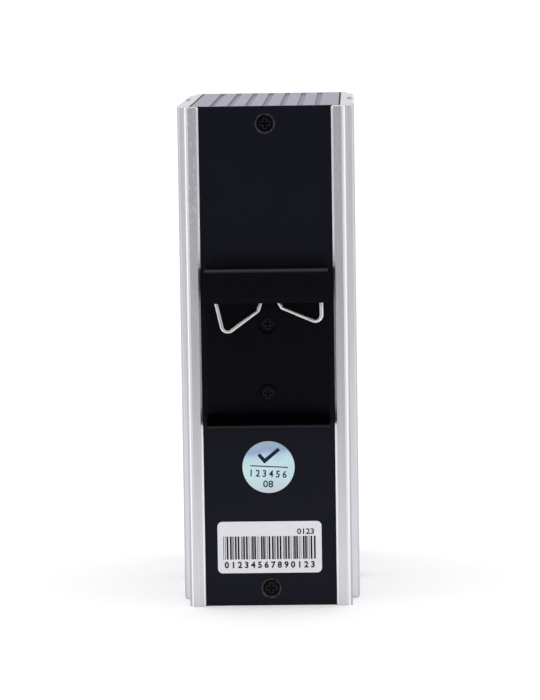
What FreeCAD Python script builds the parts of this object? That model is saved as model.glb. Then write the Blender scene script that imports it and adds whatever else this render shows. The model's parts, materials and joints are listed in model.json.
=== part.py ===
import FreeCAD, Part
import math
import os

import Sketcher

# Industrial ethernet switch for a 35 mm rail. Two silver side panels of extruded
# aluminium carry flanges that lap over a black rear plate and a black front plate.
# A black top cover and an identical bottom cover are extrusions with seven shallow
# grooves, screwed to both plates through the screw port along their middle.
# The circuit board stands upright in the card guides of the two covers.
#
# Frame, in millimetres: +Z up, the front with its sockets faces -Y, the rail
# bracket faces +Y. The origin is the middle of the overall box, at its bottom.

SIZES = {
    # Housing
    "body_height": "144",
    "body_depth": "104",
    "full_width": "51",
    "wall_thickness": "4.2",
    "flange_lap": "2.47",
    "shoulder_step": "2.05",
    "shoulder_depth": "12.5",
    "flange_thickness": "1.5",
    "flange_bevel": "1",
    "flange_tip_radius": "0.45",
    "shoulder_radius": "0.8",
    "panel_end_radius": "0.8",
    # Slot for nuts down the middle of each side panel, with grooves on both sides
    "nut_slot_width": "16",
    "nut_slot_depth": "1.3",
    "nut_slot_mouth": "9",
    "nut_slot_lip": "0.8",
    "side_groove_count": "3",
    "side_groove_start": "16",
    "side_groove_margin": "7.5",
    "side_groove_width": "1.55",
    "side_groove_depth": "0.5",
    # Top and bottom cover
    "cover_thickness": "3",
    "cover_gap_width": "0.25",
    "cover_gap_depth": "0.8",
    "cover_leg_height": "12",
    "cover_leg_thickness": "2",
    "cover_groove_count": "7",
    "cover_groove_margin": "6.3",
    "cover_groove_width": "1.55",
    "cover_groove_depth": "0.5",
    "screw_port_wall": "2",
    "guide_height": "4",
    "guide_wall": "1.2",
    # Rear and front plate
    "plate_thickness": "2",
    "plate_clearance": "0.15",
    # Countersunk screws
    "screw_core_diameter": "2.5",
    "screw_hole_diameter": "3.2",
    "screw_head_diameter": "4.7",
    "screw_sink_diameter": "5.9",
    "screw_recess_width": "0.8",
    "screw_recess_length": "2.6",
    "screw_recess_depth": "0.9",
    "thread_clearance": "0.04",
    "end_screw_inset": "5",
    "end_screw_length": "9",
    "side_screw_inset": "9",
    "side_screw_length": "6.6",
    # Rail bracket
    "rail_height": "35",
    "bracket_side_gap": "1.33",
    "bracket_plate": "3.5",
    "bracket_screw_pitch": "20",
    "bracket_screw_length": "5.4",
    "hook_gap": "4.2",
    "hook_lip": "2.4",
    "hook_roof": "2",
    "hook_room": "6.7",
    "hook_overlap": "1",
    "hook_edge_radius": "1",
    "lip_bevel_height": "1.7",
    "lip_bevel_depth": "0.3",
    "ledge_gap": "1.6",
    "ledge_lip": "2.4",
    "ledge_floor": "2",
    "ledge_overlap": "1.6",
    # Wire spring in the hook
    "wire_diameter": "1.2",
    "wire_tilt": "6.4",
    "wire_shift": "0.5",
    "wire_rise": "1.5",
    "wire_shoulder_inset": "2.1",
    "wire_shoulder_height": "3.7",
    "wire_tip_inset": "3.5",
    "wire_tip_drop": "9.7",
    "wire_elbow": "3.4",
    "wire_elbow_drop": "3.6",
    "wire_end": "1.6",
    "wire_end_height": "0.6",
    "wire_bend_radius": "1.8",
    # Sticker and label on the rear plate
    "foil_thickness": "0.12",
    "sticker_diameter": "15",
    "sticker_shift": "0.33",
    "sticker_share": "0.7676",
    "label_side_gap": "3.83",
    "label_height": "15",
    "label_corner": "1.4",
    "label_share": "0.3238",
    # Circuit board
    "board_thickness": "1.6",
    "board_clearance": "0.1",
    "board_edge_gap": "0.5",
    "board_face_offset": "6.7",
    # Modular sockets
    "jack_count": "4",
    "jack_gap": "0.3",
    "jack_width": "16",
    "jack_tall": "13.4",
    "jack_deep": "21",
    "jack_end_gap": "10.5",
    "jack_shield": "0.3",
    "jack_proud": "0.5",
    "cutout_clearance": "0.15",
    "plug_width": "11.8",
    "plug_tall": "6.8",
    "plug_foot": "3",
    "plug_depth": "14",
    "latch_width": "6.2",
    "latch_tall": "1.6",
    "latch_key_width": "3.4",
    "latch_key_tall": "1.2",
    "contact_count": "8",
    "contact_pitch": "1.02",
    "contact_width": "0.45",
    "contact_thickness": "0.35",
    "contact_rise": "2.2",
    "contact_run": "8",
    # Optical module cages
    "cage_count": "2",
    "cage_pitch": "16.25",
    "cage_width": "14.25",
    "cage_tall": "9.8",
    "cage_deep": "48.8",
    "cage_wall": "0.4",
    "cage_group_gap": "1.3",
    "cage_slot": "13",
    "edge_socket_width": "11.2",
    "edge_socket_tall": "6.6",
    "edge_socket_deep": "9",
    "edge_slot_width": "9.6",
    "edge_slot_tall": "1.4",
    # Power terminal
    "pole_count": "4",
    "pole_pitch": "5.08",
    "power_end_gap": "11.4",
    "header_tall": "8.6",
    "header_deep": "12",
    "header_wall": "0.9",
    "header_back": "2.6",
    "plug_side_wall": "0.15",
    "terminal_tall": "14.6",
    "terminal_proud": "9.2",
    "terminal_insert": "7.6",
    "wire_entry": "3",
    "wire_entry_depth": "7",
    "clamp_screw_diameter": "3.2",
    "clamp_screw_length": "5",
    "pin_side": "1",
    # Status lamps
    "lamp_diameter": "2.4",
    "lamp_column": "13",
    "lamp_bar": "2",
    "lamp_proud": "0.3",
    "lamp_chip": "1.2",
    # Parts on the circuit board
    "part_gap": "3",
    "chip_side": "14",
    "chip_height": "1.4",
    "pad_side": "13",
    "pad_thickness": "0.5",
    "block_side": "22",
    "magnetics_length": "15",
    "magnetics_width": "12",
    "magnetics_height": "6",
    "coil_diameter": "11",
    "coil_height": "7",
    "coil_pitch": "14",
    "can_diameter": "10",
    "can_height": "13",
    "can_pitch": "13",
    "regulator_side": "9",
    "regulator_height": "2.4",
    "regulator_pitch": "13",
    "flash_length": "6",
    "flash_width": "5",
    "flash_height": "1.6",
    "crystal_length": "11",
    "crystal_width": "4.6",
    "crystal_height": "3.4",
    "fuse_length": "9",
    "fuse_width": "4",
    "fuse_height": "3.6",
}


class Size:
    """A number in millimetres with the sheet formula that it comes from."""

    def __init__(self, value, text):
        self.value = float(value)
        self.text = text

    def _join(self, sign, other, value):
        text = other.text if isinstance(other, Size) else repr(float(other))
        return Size(value, f"({self.text} {sign} {text})")

    def __add__(self, other):
        return self._join("+", other, self.value + number(other))

    def __radd__(self, other):
        return self + other

    def __sub__(self, other):
        return self._join("-", other, self.value - number(other))

    def __rsub__(self, other):
        return -self + other

    def __mul__(self, other):
        return self._join("*", other, self.value * number(other))

    def __rmul__(self, other):
        return self * other

    def __truediv__(self, other):
        return self._join("/", other, self.value / number(other))

    def __neg__(self):
        return Size(-self.value, f"(-1 * {self.text})")


def number(size):
    """The plain value of a size or of a number."""
    return size.value if isinstance(size, Size) else float(size)


class Sheet:
    """The spreadsheet of driving dimensions; each alias is read as an attribute."""

    def __init__(self, doc, sizes):
        self.cells = {}
        sheet = doc.addObject("Spreadsheet::Sheet", "Sizes")
        for row, (alias, text) in enumerate(sizes.items(), start=1):
            sheet.set(f"A{row}", alias)
            sheet.set(f"B{row}", text)
            sheet.setAlias(f"B{row}", alias)
            self.cells[alias] = Size(text, f"Sizes.{alias}")

    def __getattr__(self, alias):
        return self.cells[alias]


doc = FreeCAD.newDocument("EthernetSwitch")
s = Sheet(doc, SIZES)
doc.recompute()

# Levels and faces that several pieces share
REACH_REAR = s.bracket_plate + s.hook_gap + s.hook_lip - s.flange_thickness
REACH_FRONT = s.terminal_proud - s.flange_thickness
REAR = (s.body_depth + REACH_FRONT - REACH_REAR) / 2
FRONT = REAR - s.body_depth
MIDDLE = REAR - s.body_depth / 2
NARROW_WIDTH = s.full_width - 2 * s.shoulder_step
INNER_WIDTH = s.full_width - 2 * s.wall_thickness
WINDOW_WIDTH = INNER_WIDTH - 2 * s.flange_lap
BRACKET_WIDTH = WINDOW_WIDTH - 2 * s.bracket_side_gap
REAR_SEAT = REAR - s.flange_thickness
FRONT_SEAT = FRONT + s.flange_thickness
COVER_LENGTH = s.body_depth - 2 * (s.flange_thickness + s.plate_thickness)
HALF_HEIGHT = s.body_height / 2
PANEL_FACE = INNER_WIDTH / 2
BOARD_FACE = -s.board_face_offset
BOARD_BACK = BOARD_FACE - s.board_thickness
BOARD_FRONT = FRONT_SEAT + s.plate_thickness + s.board_edge_gap
RAIL_TOP = HALF_HEIGHT + s.rail_height / 2
RAIL_BOTTOM = HALF_HEIGHT - s.rail_height / 2
BRACKET_FLOOR = RAIL_BOTTOM - s.ledge_floor
BRACKET_FACE = REAR_SEAT + s.bracket_plate
SIDE_GROOVE_RUN = s.body_depth / 2 - s.shoulder_depth - s.side_groove_start - s.side_groove_margin
SIDE_GROOVE_PITCH = SIDE_GROOVE_RUN / (s.side_groove_count - 1)
SIDE_SCREW_REACH = s.side_groove_start + SIDE_GROOVE_PITCH * 1.5
COVER_GROOVE_RUN = INNER_WIDTH - 2 * s.cover_groove_margin
COVER_GROOVE_PITCH = COVER_GROOVE_RUN / (s.cover_groove_count - 1)
SCREW_HEAD_DEPTH = (s.screw_head_diameter - s.screw_core_diameter) / 2
SINK_DEPTH = (s.screw_sink_diameter - s.screw_head_diameter) / 2
HEADER_LENGTH = s.pole_pitch * s.pole_count + 2 * s.header_wall
POWER_MIDDLE = s.body_height - s.power_end_gap - HEADER_LENGTH / 2
CAGE_STACK = s.cage_pitch * (s.cage_count - 1)
CAGE_FIRST = POWER_MIDDLE - HEADER_LENGTH / 2 - s.cage_group_gap - s.cage_width / 2 - CAGE_STACK
JACK_FIRST = s.jack_end_gap + s.jack_width / 2
JACK_PITCH = s.jack_width + s.jack_gap
CAGE_END = FRONT_SEAT - s.jack_proud + s.cage_deep
CAN_COLUMN = CAGE_END + s.part_gap + s.can_diameter / 2
REAR_COLUMN = CAN_COLUMN + s.can_diameter / 2 + s.part_gap + s.coil_diameter / 2
ORIGIN = Size(0, "0")

parts = []


def bind(thing, **sizes):
    """Set each property of the thing, and tie it to its formula."""
    for name, size in sizes.items():
        if isinstance(size, Size):
            thing.setExpression(name, size.text)
        else:
            setattr(thing, name, size)


def place(thing, x=0, y=0, z=0):
    """Tie the place of a finished piece to sizes of the sheet."""
    for axis, size in (("x", x), ("y", y), ("z", z)):
        if isinstance(size, Size):
            thing.setExpression(f"Placement.Base.{axis}", size.text)


def turn(thing, axis, degrees):
    """Turn a piece about an axis through its own origin."""
    thing.Placement = FreeCAD.Placement(FreeCAD.Vector(), FreeCAD.Rotation(axis, degrees))


def keep(thing, label):
    """Name a finished piece; it is written to a file of that name."""
    thing.Label = label
    parts.append(thing)
    return thing


def new_body(name):
    return doc.addObject("PartDesign::Body", name)


def origin_feature(body, role):
    return next(feature for feature in body.Origin.OriginFeatures if feature.Role == role)


def new_sketch(body, role, offset=0):
    """A sketch on one of the body's own planes, or that far above it."""
    sketch = body.newObject("Sketcher::SketchObject", "Sketch")
    sketch.AttachmentSupport = (origin_feature(body, role), [""])
    sketch.MapMode = "FlatFace"
    if isinstance(offset, Size):
        sketch.setExpression("AttachmentOffset.Base.z", offset.text)
    return sketch


def hold(sketch, kind, geometry, point, size):
    """Hold one point of the geometry to the sketch origin along one direction."""
    index = sketch.addConstraint(Sketcher.Constraint(kind, -1, 1, geometry, point, number(size)))
    if isinstance(size, Size):
        sketch.setExpression(f"Constraints[{index}]", size.text)


def outline(sketch, corners):
    """A closed outline of straight lines, each corner held by two sizes."""
    first = sketch.GeometryCount
    count = len(corners)
    points = [FreeCAD.Vector(number(a), number(b), 0) for a, b in corners]
    for index in range(count):
        sketch.addGeometry(Part.LineSegment(points[index], points[(index + 1) % count]), False)
    for index in range(count):
        following = first + (index + 1) % count
        sketch.addConstraint(Sketcher.Constraint("Coincident", first + index, 2, following, 1))
    for index, (a, b) in enumerate(corners):
        hold(sketch, "DistanceX", first + index, 1, a)
        hold(sketch, "DistanceY", first + index, 1, b)
    return sketch


def rectangle(sketch, a, b, width, height):
    """A rectangle centred on (a, b)."""
    left, right = a - width / 2, a + width / 2
    low, high = b - height / 2, b + height / 2
    return outline(sketch, [(left, low), (right, low), (right, high), (left, high)])


def circle(sketch, a, b, diameter):
    centre = FreeCAD.Vector(number(a), number(b), 0)
    shape = Part.Circle(centre, FreeCAD.Vector(0, 0, 1), number(diameter) / 2)
    geometry = sketch.addGeometry(shape, False)
    hold(sketch, "DistanceX", geometry, 3, a)
    hold(sketch, "DistanceY", geometry, 3, b)
    index = sketch.addConstraint(Sketcher.Constraint("Diameter", geometry, number(diameter)))
    sketch.setExpression(f"Constraints[{index}]", diameter.text)
    return sketch


def pad(body, sketch, length, side="Symmetric"):
    feature = body.newObject("PartDesign::Pad", "Pad")
    feature.Profile = sketch
    feature.SideType = side
    bind(feature, Length=length)
    return feature


def pocket(body, sketch, length=None, backwards=False):
    """A cut through everything on both sides, or to a stated depth on one."""
    feature = body.newObject("PartDesign::Pocket", "Pocket")
    feature.Profile = sketch
    if length is None:
        feature.Type = "ThroughAll"
        feature.SideType = "Symmetric"
    else:
        feature.Reversed = backwards
        bind(feature, Length=length)
    return feature


def pattern(body, feature, role, pitch, count):
    """Copies of a feature in a row along one axis of the body."""
    row = body.newObject("PartDesign::LinearPattern", "Row")
    row.Originals = [feature]
    row.Direction = (origin_feature(body, role), [""])
    bind(row, Length=pitch * (count - 1), Occurrences=count)
    body.Tip = row
    return row


def round_edges(body, base, radius, wanted):
    """Round the edges of the base feature for which wanted(edge) is true."""
    doc.recompute()
    names = [f"Edge{i}" for i, edge in enumerate(base.Shape.Edges, start=1) if wanted(edge)]
    feature = body.newObject("PartDesign::Fillet", "Fillet")
    feature.Base = (base, names)
    bind(feature, Radius=radius)
    return feature


def sunk_holes(body, role, offset, centres, backwards, bore):
    """Countersunk holes; the wide end is at the sketch's level."""
    sketch = new_sketch(body, role, offset)
    for a, b in centres:
        circle(sketch, a, b, bore)
    doc.recompute()
    hole = body.newObject("PartDesign::Hole", "Hole")
    hole.Profile = sketch
    doc.recompute()
    hole.Reversed = backwards
    hole.Threaded = False
    hole.DepthType = "ThroughAll"
    hole.HoleCutType = "Countersink"
    hole.HoleCutCustomValues = True
    hole.HoleCutCountersinkAngle = 90
    bind(hole, Diameter=bore, HoleCutDiameter=s.screw_sink_diameter)
    return hole


def on_line(edge, **place_of):
    """True if both ends of the edge lie at the given coordinates."""
    return all(
        abs(getattr(vertex.Point, axis) - value) < 0.01
        for vertex in edge.Vertexes
        for axis, value in place_of.items()
    )


# Side panels: one plan section, run up the full height. The middle of the depth
# is thicker, with shallow grooves, and steps down to a narrow edge at each end.
def side_section(side):
    """The plan section of one panel; side is +1 or -1 along X."""
    half_depth = s.body_depth / 2
    tip, narrow, full = WINDOW_WIDTH / 2, NARROW_WIDTH / 2, s.full_width / 2
    seat = half_depth - s.flange_thickness
    shoulder = half_depth - s.shoulder_depth
    half = [
        (PANEL_FACE, seat),
        (tip, seat),
        (tip, half_depth),
        (narrow - s.flange_bevel, half_depth),
        (narrow, half_depth - s.flange_bevel),
        (narrow, shoulder),
        (full, shoulder),
    ]
    corners = half + [(a, -b) for a, b in reversed(half)]
    return [(a * side, b) for a, b in corners]


def side_panel(label, side):
    body = new_body(label)
    section = outline(new_sketch(body, "XY_Plane"), side_section(side))
    panel = pad(body, section, s.body_height)

    tip = side * number(WINDOW_WIDTH) / 2
    full = side * number(s.full_width) / 2
    rear = number(s.body_depth) / 2
    shoulder = rear - number(s.shoulder_depth)
    top = number(HALF_HEIGHT)

    def flange_tip(edge):
        return on_line(edge, x=tip, y=rear) or on_line(edge, x=tip, y=-rear)

    def shoulder_edge(edge):
        return on_line(edge, x=full, y=shoulder) or on_line(edge, x=full, y=-shoulder)

    def end_edge(edge):
        level = on_line(edge, z=top) or on_line(edge, z=-top)
        across = abs(edge.Vertexes[0].Point.y - edge.Vertexes[-1].Point.y) > 1
        return level and across and (on_line(edge, x=full) or on_line(edge, x=tip))

    panel = round_edges(body, panel, s.panel_end_radius, end_edge)
    panel = round_edges(body, panel, s.flange_tip_radius, flange_tip)
    panel = round_edges(body, panel, s.shoulder_radius, shoulder_edge)

    face = s.full_width / 2
    slot_floor = face - s.nut_slot_lip - s.nut_slot_depth
    mouth, room = s.nut_slot_mouth / 2, s.nut_slot_width / 2
    half_slot = [(face + s.nut_slot_lip, mouth), (face - s.nut_slot_lip, mouth),
                 (face - s.nut_slot_lip, room), (slot_floor, room)]
    slot = half_slot + [(a, -b) for a, b in reversed(half_slot)]
    pocket(body, outline(new_sketch(body, "XY_Plane"), [(a * side, b) for a, b in slot]))
    for first in (s.side_groove_start, -s.side_groove_start - SIDE_GROOVE_RUN):
        groove = new_sketch(body, "XY_Plane")
        rectangle(groove, side * face, first, 2 * s.side_groove_depth, s.side_groove_width)
        pattern(body, pocket(body, groove), "Y_Axis", SIDE_GROOVE_PITCH, s.side_groove_count)

    level = HALF_HEIGHT - s.side_screw_inset
    centres = [(a, b) for a in (-SIDE_SCREW_REACH, SIDE_SCREW_REACH) for b in (-level, level)]
    sunk_holes(body, "YZ_Plane", side * s.full_width / 2, centres, side < 0, s.screw_hole_diameter)
    place(body, y=MIDDLE, z=HALF_HEIGHT)
    return keep(body, label)


# Covers: an inverted channel with a grooved face, a screw port under its middle
# and two ribs that guide the edge of the circuit board. Drawn as the top cover.
def cover_section():
    top = HALF_HEIGHT
    under = top - s.cover_thickness
    wall = PANEL_FACE
    leg = wall - s.cover_leg_thickness
    leg_end = top - s.cover_leg_height
    slot_half = s.board_thickness / 2 + s.board_clearance
    slot_middle = (BOARD_FACE + BOARD_BACK) / 2
    near = slot_middle + slot_half
    far = slot_middle - slot_half
    rib_end = under - s.guide_height
    step = wall - s.cover_gap_width
    return [
        (-step, top), (step, top),
        (step, top - s.cover_gap_depth), (wall, top - s.cover_gap_depth),
        (wall, leg_end), (leg, leg_end), (leg, under),
        (near + s.guide_wall, under), (near + s.guide_wall, rib_end), (near, rib_end), (near, under),
        (far, under), (far, rib_end), (far - s.guide_wall, rib_end), (far - s.guide_wall, under),
        (-leg, under), (-leg, leg_end), (-wall, leg_end),
        (-wall, top - s.cover_gap_depth), (-step, top - s.cover_gap_depth),
    ]


def cover(label, upside_down):
    body = new_body(label)
    pad(body, outline(new_sketch(body, "XZ_Plane"), cover_section()), COVER_LENGTH)
    level = HALF_HEIGHT - s.end_screw_inset
    port_diameter = s.screw_core_diameter + 2 * s.screw_port_wall
    port = circle(new_sketch(body, "XZ_Plane"), ORIGIN, level, port_diameter)
    pad(body, port, COVER_LENGTH)
    bore = circle(
        new_sketch(body, "XZ_Plane"), ORIGIN, level, s.screw_core_diameter + 2 * s.thread_clearance
    )
    pocket(body, bore)
    groove = new_sketch(body, "XZ_Plane")
    rectangle(groove, -COVER_GROOVE_RUN / 2, HALF_HEIGHT, s.cover_groove_width, 2 * s.cover_groove_depth)
    pattern(body, pocket(body, groove), "X_Axis", COVER_GROOVE_PITCH, s.cover_groove_count)

    side_level = HALF_HEIGHT - s.side_screw_inset
    tapped = new_sketch(body, "YZ_Plane")
    for a in (-SIDE_SCREW_REACH, SIDE_SCREW_REACH):
        circle(tapped, a, side_level, s.screw_core_diameter + 2 * s.thread_clearance)
    pocket(body, tapped)
    if upside_down:
        turn(body, FreeCAD.Vector(1, 0, 0), 180)
    place(body, y=MIDDLE, z=HALF_HEIGHT)
    return keep(body, label)


# Screws: countersunk heads with a cross recess. Drawn with the head's flat face
# at the origin and the shank down -Z; then patterned and turned into place.
def screws(label, length, across=None, along=None):
    body = new_body(label)
    head = s.screw_head_diameter / 2
    core = s.screw_core_diameter / 2
    profile = new_sketch(body, "XZ_Plane")
    outline(profile, [(0, 0), (head, 0), (core, -SCREW_HEAD_DEPTH), (core, -length), (0, -length)])
    turned = body.newObject("PartDesign::Revolution", "Revolution")
    turned.Profile = profile
    turned.ReferenceAxis = (profile, ["V_Axis"])
    turned.Angle = 360
    recess = new_sketch(body, "XY_Plane")
    arm, half = s.screw_recess_length / 2, s.screw_recess_width / 2
    quarter = [(half, half), (half, arm), (-half, arm)]
    cross = []
    for _ in range(4):
        cross = cross + quarter
        quarter = [(-b, a) for a, b in quarter]
    outline(recess, cross)
    cut = pocket(body, recess, s.screw_recess_depth)
    if across or along:
        rows = body.newObject("PartDesign::MultiTransform", "Rows")
        rows.Originals = [turned, cut]
        steps = []
        for role, pitch in (("X_Axis", across), ("Y_Axis", along)):
            if pitch:
                row = body.newObject("PartDesign::LinearPattern", "Row")
                row.Direction = (origin_feature(body, role), [""])
                row.Occurrences = 2
                bind(row, Length=pitch)
                steps.append(row)
        rows.Transformations = steps
        body.Tip = rows
    return keep(body, label)


def housing():
    side_panel("side_panel_right", 1)
    side_panel("side_panel_left", -1)
    cover("top_cover", False)
    cover("bottom_cover", True)


# Plates: flat sheets behind the flanges, drawn about their own mid-plane.
def blank_plate(label):
    body = new_body(label)
    width = INNER_WIDTH - 2 * s.plate_clearance
    sheet = rectangle(new_sketch(body, "XZ_Plane"), ORIGIN, ORIGIN, width, s.body_height)
    pad(body, sheet, s.plate_thickness)
    return body


def end_screw_centres():
    level = HALF_HEIGHT - s.end_screw_inset
    return [(ORIGIN, level), (ORIGIN, -level)]


def rear_plate():
    body = blank_plate("rear_plate")
    tapped = new_sketch(body, "XZ_Plane")
    for side in (-1, 1):
        level = side * s.bracket_screw_pitch / 2
        circle(tapped, ORIGIN, level, s.screw_core_diameter + 2 * s.thread_clearance)
    pocket(body, tapped)
    sunk_holes(body, "XZ_Plane", -s.plate_thickness / 2, end_screw_centres(), True, s.screw_hole_diameter)
    place(body, y=REAR_SEAT - s.plate_thickness / 2, z=HALF_HEIGHT)
    keep(body, "rear_plate")


def front_plate():
    body = blank_plate("front_plate")
    windows = new_sketch(body, "XZ_Plane")
    gap = 2 * s.cutout_clearance
    stack = JACK_PITCH * (s.jack_count - 1)
    middle = BOARD_FACE + s.jack_tall / 2
    rectangle(
        windows,
        middle,
        JACK_FIRST + stack / 2 - HALF_HEIGHT,
        s.jack_tall + gap,
        stack + s.jack_width + gap,
    )
    for index in range(int(number(s.cage_count))):
        level = cage_level(index) - HALF_HEIGHT
        rectangle(windows, BOARD_FACE + s.cage_tall / 2, level, s.cage_tall + gap, s.cage_width + gap)
    rectangle(
        windows,
        BOARD_FACE + s.header_tall / 2,
        POWER_MIDDLE - HALF_HEIGHT,
        s.header_tall + gap,
        HEADER_LENGTH + gap,
    )
    pocket(body, windows)
    lamps = new_sketch(body, "XZ_Plane")
    for level in lamp_levels():
        circle(lamps, -s.lamp_column, level - HALF_HEIGHT, s.lamp_diameter + gap)
    pocket(body, lamps)
    sunk_holes(body, "XZ_Plane", s.plate_thickness / 2, end_screw_centres(), False, s.screw_hole_diameter)
    place(body, y=FRONT_SEAT + s.plate_thickness / 2, z=HALF_HEIGHT)
    keep(body, "front_plate")


def end_screws():
    spacing = s.body_height - 2 * s.end_screw_inset
    level = HALF_HEIGHT + spacing / 2
    rear = screws("rear_plate_screws", s.end_screw_length, along=spacing)
    turn(rear, FreeCAD.Vector(1, 0, 0), -90)
    place(rear, y=REAR_SEAT - SINK_DEPTH, z=level)
    front = screws("front_plate_screws", s.end_screw_length, along=spacing)
    turn(front, FreeCAD.Vector(1, 0, 0), 90)
    place(front, y=FRONT_SEAT + SINK_DEPTH, z=s.end_screw_inset)


def side_screws():
    spacing = s.body_height - 2 * s.side_screw_inset
    for label, side in (("side_screws_right", 1), ("side_screws_left", -1)):
        group = screws(label, s.side_screw_length, across=spacing, along=2 * SIDE_SCREW_REACH)
        turn(group, FreeCAD.Vector(0, 1, 0), 90 * side)
        start = s.side_screw_inset if side < 0 else s.body_height - s.side_screw_inset
        place(group, x=side * (s.full_width / 2 - SINK_DEPTH), y=MIDDLE - SIDE_SCREW_REACH, z=start)


# Rail bracket: a section cut from extruded bar, 35 mm long. Its upper hook is
# deep, so that the rail can be pushed up against the spring; its ledge is shallow.
def bracket_section():
    face = s.bracket_plate
    hook = face + s.hook_gap + s.hook_lip
    ledge = face + s.ledge_gap + s.ledge_lip
    roof = RAIL_TOP + s.hook_room
    lip_end = RAIL_TOP - s.hook_overlap
    return [
        (0, BRACKET_FLOOR), (ledge, BRACKET_FLOOR), (ledge, RAIL_BOTTOM + s.ledge_overlap),
        (face + s.ledge_gap, RAIL_BOTTOM + s.ledge_overlap), (face + s.ledge_gap, RAIL_BOTTOM),
        (face, RAIL_BOTTOM), (face, roof), (face + s.hook_gap, roof), (face + s.hook_gap, lip_end),
        (hook - s.lip_bevel_depth, lip_end), (hook, lip_end + s.lip_bevel_height),
        (hook, roof + s.hook_roof), (0, roof + s.hook_roof),
    ]


def din_bracket():
    body = new_body("din_bracket")
    bar = pad(body, outline(new_sketch(body, "YZ_Plane"), bracket_section()), BRACKET_WIDTH)
    hook = number(s.bracket_plate + s.hook_gap + s.hook_lip)
    top = number(RAIL_TOP + s.hook_room + s.hook_roof)
    ledge = number(s.bracket_plate + s.ledge_gap + s.ledge_lip)
    floor = number(BRACKET_FLOOR)

    def outer_edge(edge):
        return on_line(edge, y=hook, z=top) or on_line(edge, y=ledge, z=floor)

    round_edges(body, bar, s.hook_edge_radius, outer_edge)
    centres = [(ORIGIN, HALF_HEIGHT + side * s.bracket_screw_pitch / 2) for side in (-1, 1)]
    sunk_holes(body, "XZ_Plane", -s.bracket_plate, centres, True, s.screw_hole_diameter)
    place(body, y=REAR_SEAT)
    keep(body, "din_bracket")

    group = screws("din_bracket_screws", s.bracket_screw_length, along=s.bracket_screw_pitch)
    turn(group, FreeCAD.Vector(1, 0, 0), -90)
    place(group, y=BRACKET_FACE - SINK_DEPTH, z=HALF_HEIGHT + s.bracket_screw_pitch / 2)


# Wire spring: one wire, symmetric about its middle. It runs along the hook's
# channel, drops to a tip on each side and turns back up at its two free ends.
def bent_wire(points, radius):
    """Straight runs through the points, joined by tangent arcs of one radius."""
    edges = []
    start = points[0]
    for before, corner, after in zip(points, points[1:], points[2:]):
        back = (before - corner).normalize()
        ahead = (after - corner).normalize()
        half_angle = back.getAngle(ahead) / 2
        reach = radius / math.tan(half_angle)
        middle = (back + ahead).normalize()
        bend_in = corner + back * reach
        bend_out = corner + ahead * reach
        bend_middle = corner + middle * (radius / math.sin(half_angle) - radius)
        edges.append(Part.LineSegment(start, bend_in).toShape())
        edges.append(Part.Arc(bend_in, bend_middle, bend_out).toShape())
        start = bend_out
    edges.append(Part.LineSegment(start, points[-1]).toShape())
    return Part.Wire(edges)


def din_spring():
    half = [
        (BRACKET_WIDTH / 2 - s.wire_shoulder_inset, s.wire_shoulder_height),
        (BRACKET_WIDTH / 2 - s.wire_tip_inset, -s.wire_tip_drop),
        (s.wire_elbow, -s.wire_elbow_drop),
        (s.wire_end, s.wire_end_height),
    ]
    right = [FreeCAD.Vector(number(a), 0, number(b)) for a, b in half]
    left = [FreeCAD.Vector(-point.x, 0, point.z) for point in right]
    spine = bent_wire(list(reversed(left)) + right, number(s.wire_bend_radius))
    first = spine.OrderedEdges[0]
    start = first.valueAt(first.FirstParameter)
    along = first.tangentAt(first.FirstParameter)
    section = Part.Wire([Part.Circle(start, along, number(s.wire_diameter) / 2).toShape()])
    spring = doc.addObject("Part::Feature", "din_spring")
    spring.Shape = spine.makePipeShell([section], True, True)
    level = RAIL_TOP - s.hook_overlap + s.wire_rise
    tilt = FreeCAD.Rotation(FreeCAD.Vector(0, 1, 0), number(s.wire_tilt))
    where = FreeCAD.Vector(-number(s.wire_shift), number(BRACKET_FACE + s.hook_gap / 2), number(level))
    spring.Placement = FreeCAD.Placement(where, tilt)
    keep(spring, "din_spring")


def stickers():
    foil_middle = REAR_SEAT + s.foil_thickness / 2
    body = new_body("inspection_sticker")
    pad(body, circle(new_sketch(body, "XZ_Plane"), ORIGIN, ORIGIN, s.sticker_diameter), s.foil_thickness)
    place(body, x=s.sticker_shift, y=foil_middle, z=BRACKET_FLOOR * s.sticker_share)
    keep(body, "inspection_sticker")

    body = new_body("barcode_label")
    length = WINDOW_WIDTH - 2 * s.label_side_gap
    paper = rectangle(new_sketch(body, "XZ_Plane"), ORIGIN, ORIGIN, length, s.label_height)
    sheet = pad(body, paper, s.foil_thickness)

    def corner(edge):
        return abs(edge.Vertexes[0].Point.y - edge.Vertexes[-1].Point.y) > number(s.foil_thickness) / 2

    round_edges(body, sheet, s.label_corner, corner)
    place(body, x=s.sticker_shift, y=foil_middle, z=BRACKET_FLOOR * s.label_share)
    keep(body, "barcode_label")


# Small parts on the board are plain blocks and cans, as their real packages are.
def block(name, x, y, z, deep_x, long_y, tall_z):
    """A box whose low corner in X is at x, centred on y and z."""
    box = doc.addObject("Part::Box", name)
    bind(box, Length=deep_x, Width=long_y, Height=tall_z)
    place(box, x=x, y=y - long_y / 2, z=z - tall_z / 2)
    return box


def group(label, pieces):
    compound = doc.addObject("Part::Compound", label)
    compound.Links = pieces
    return keep(compound, label)


def circuit_board():
    height = s.body_height - 2 * (s.cover_thickness + s.board_edge_gap)
    depth = COVER_LENGTH - 2 * s.board_edge_gap
    body = new_body("circuit_board")
    sheet = rectangle(new_sketch(body, "YZ_Plane"), ORIGIN, ORIGIN, depth, height)
    pad(body, sheet, s.board_thickness)
    place(body, x=(BOARD_FACE + BOARD_BACK) / 2, y=MIDDLE, z=HALF_HEIGHT)
    keep(body, "circuit_board")


# Modular sockets: a plastic insert with the stepped plug opening, eight contact
# wires and a folded metal shield around it, open at the front.
def jack_level(index):
    return JACK_FIRST + index * JACK_PITCH


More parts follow.
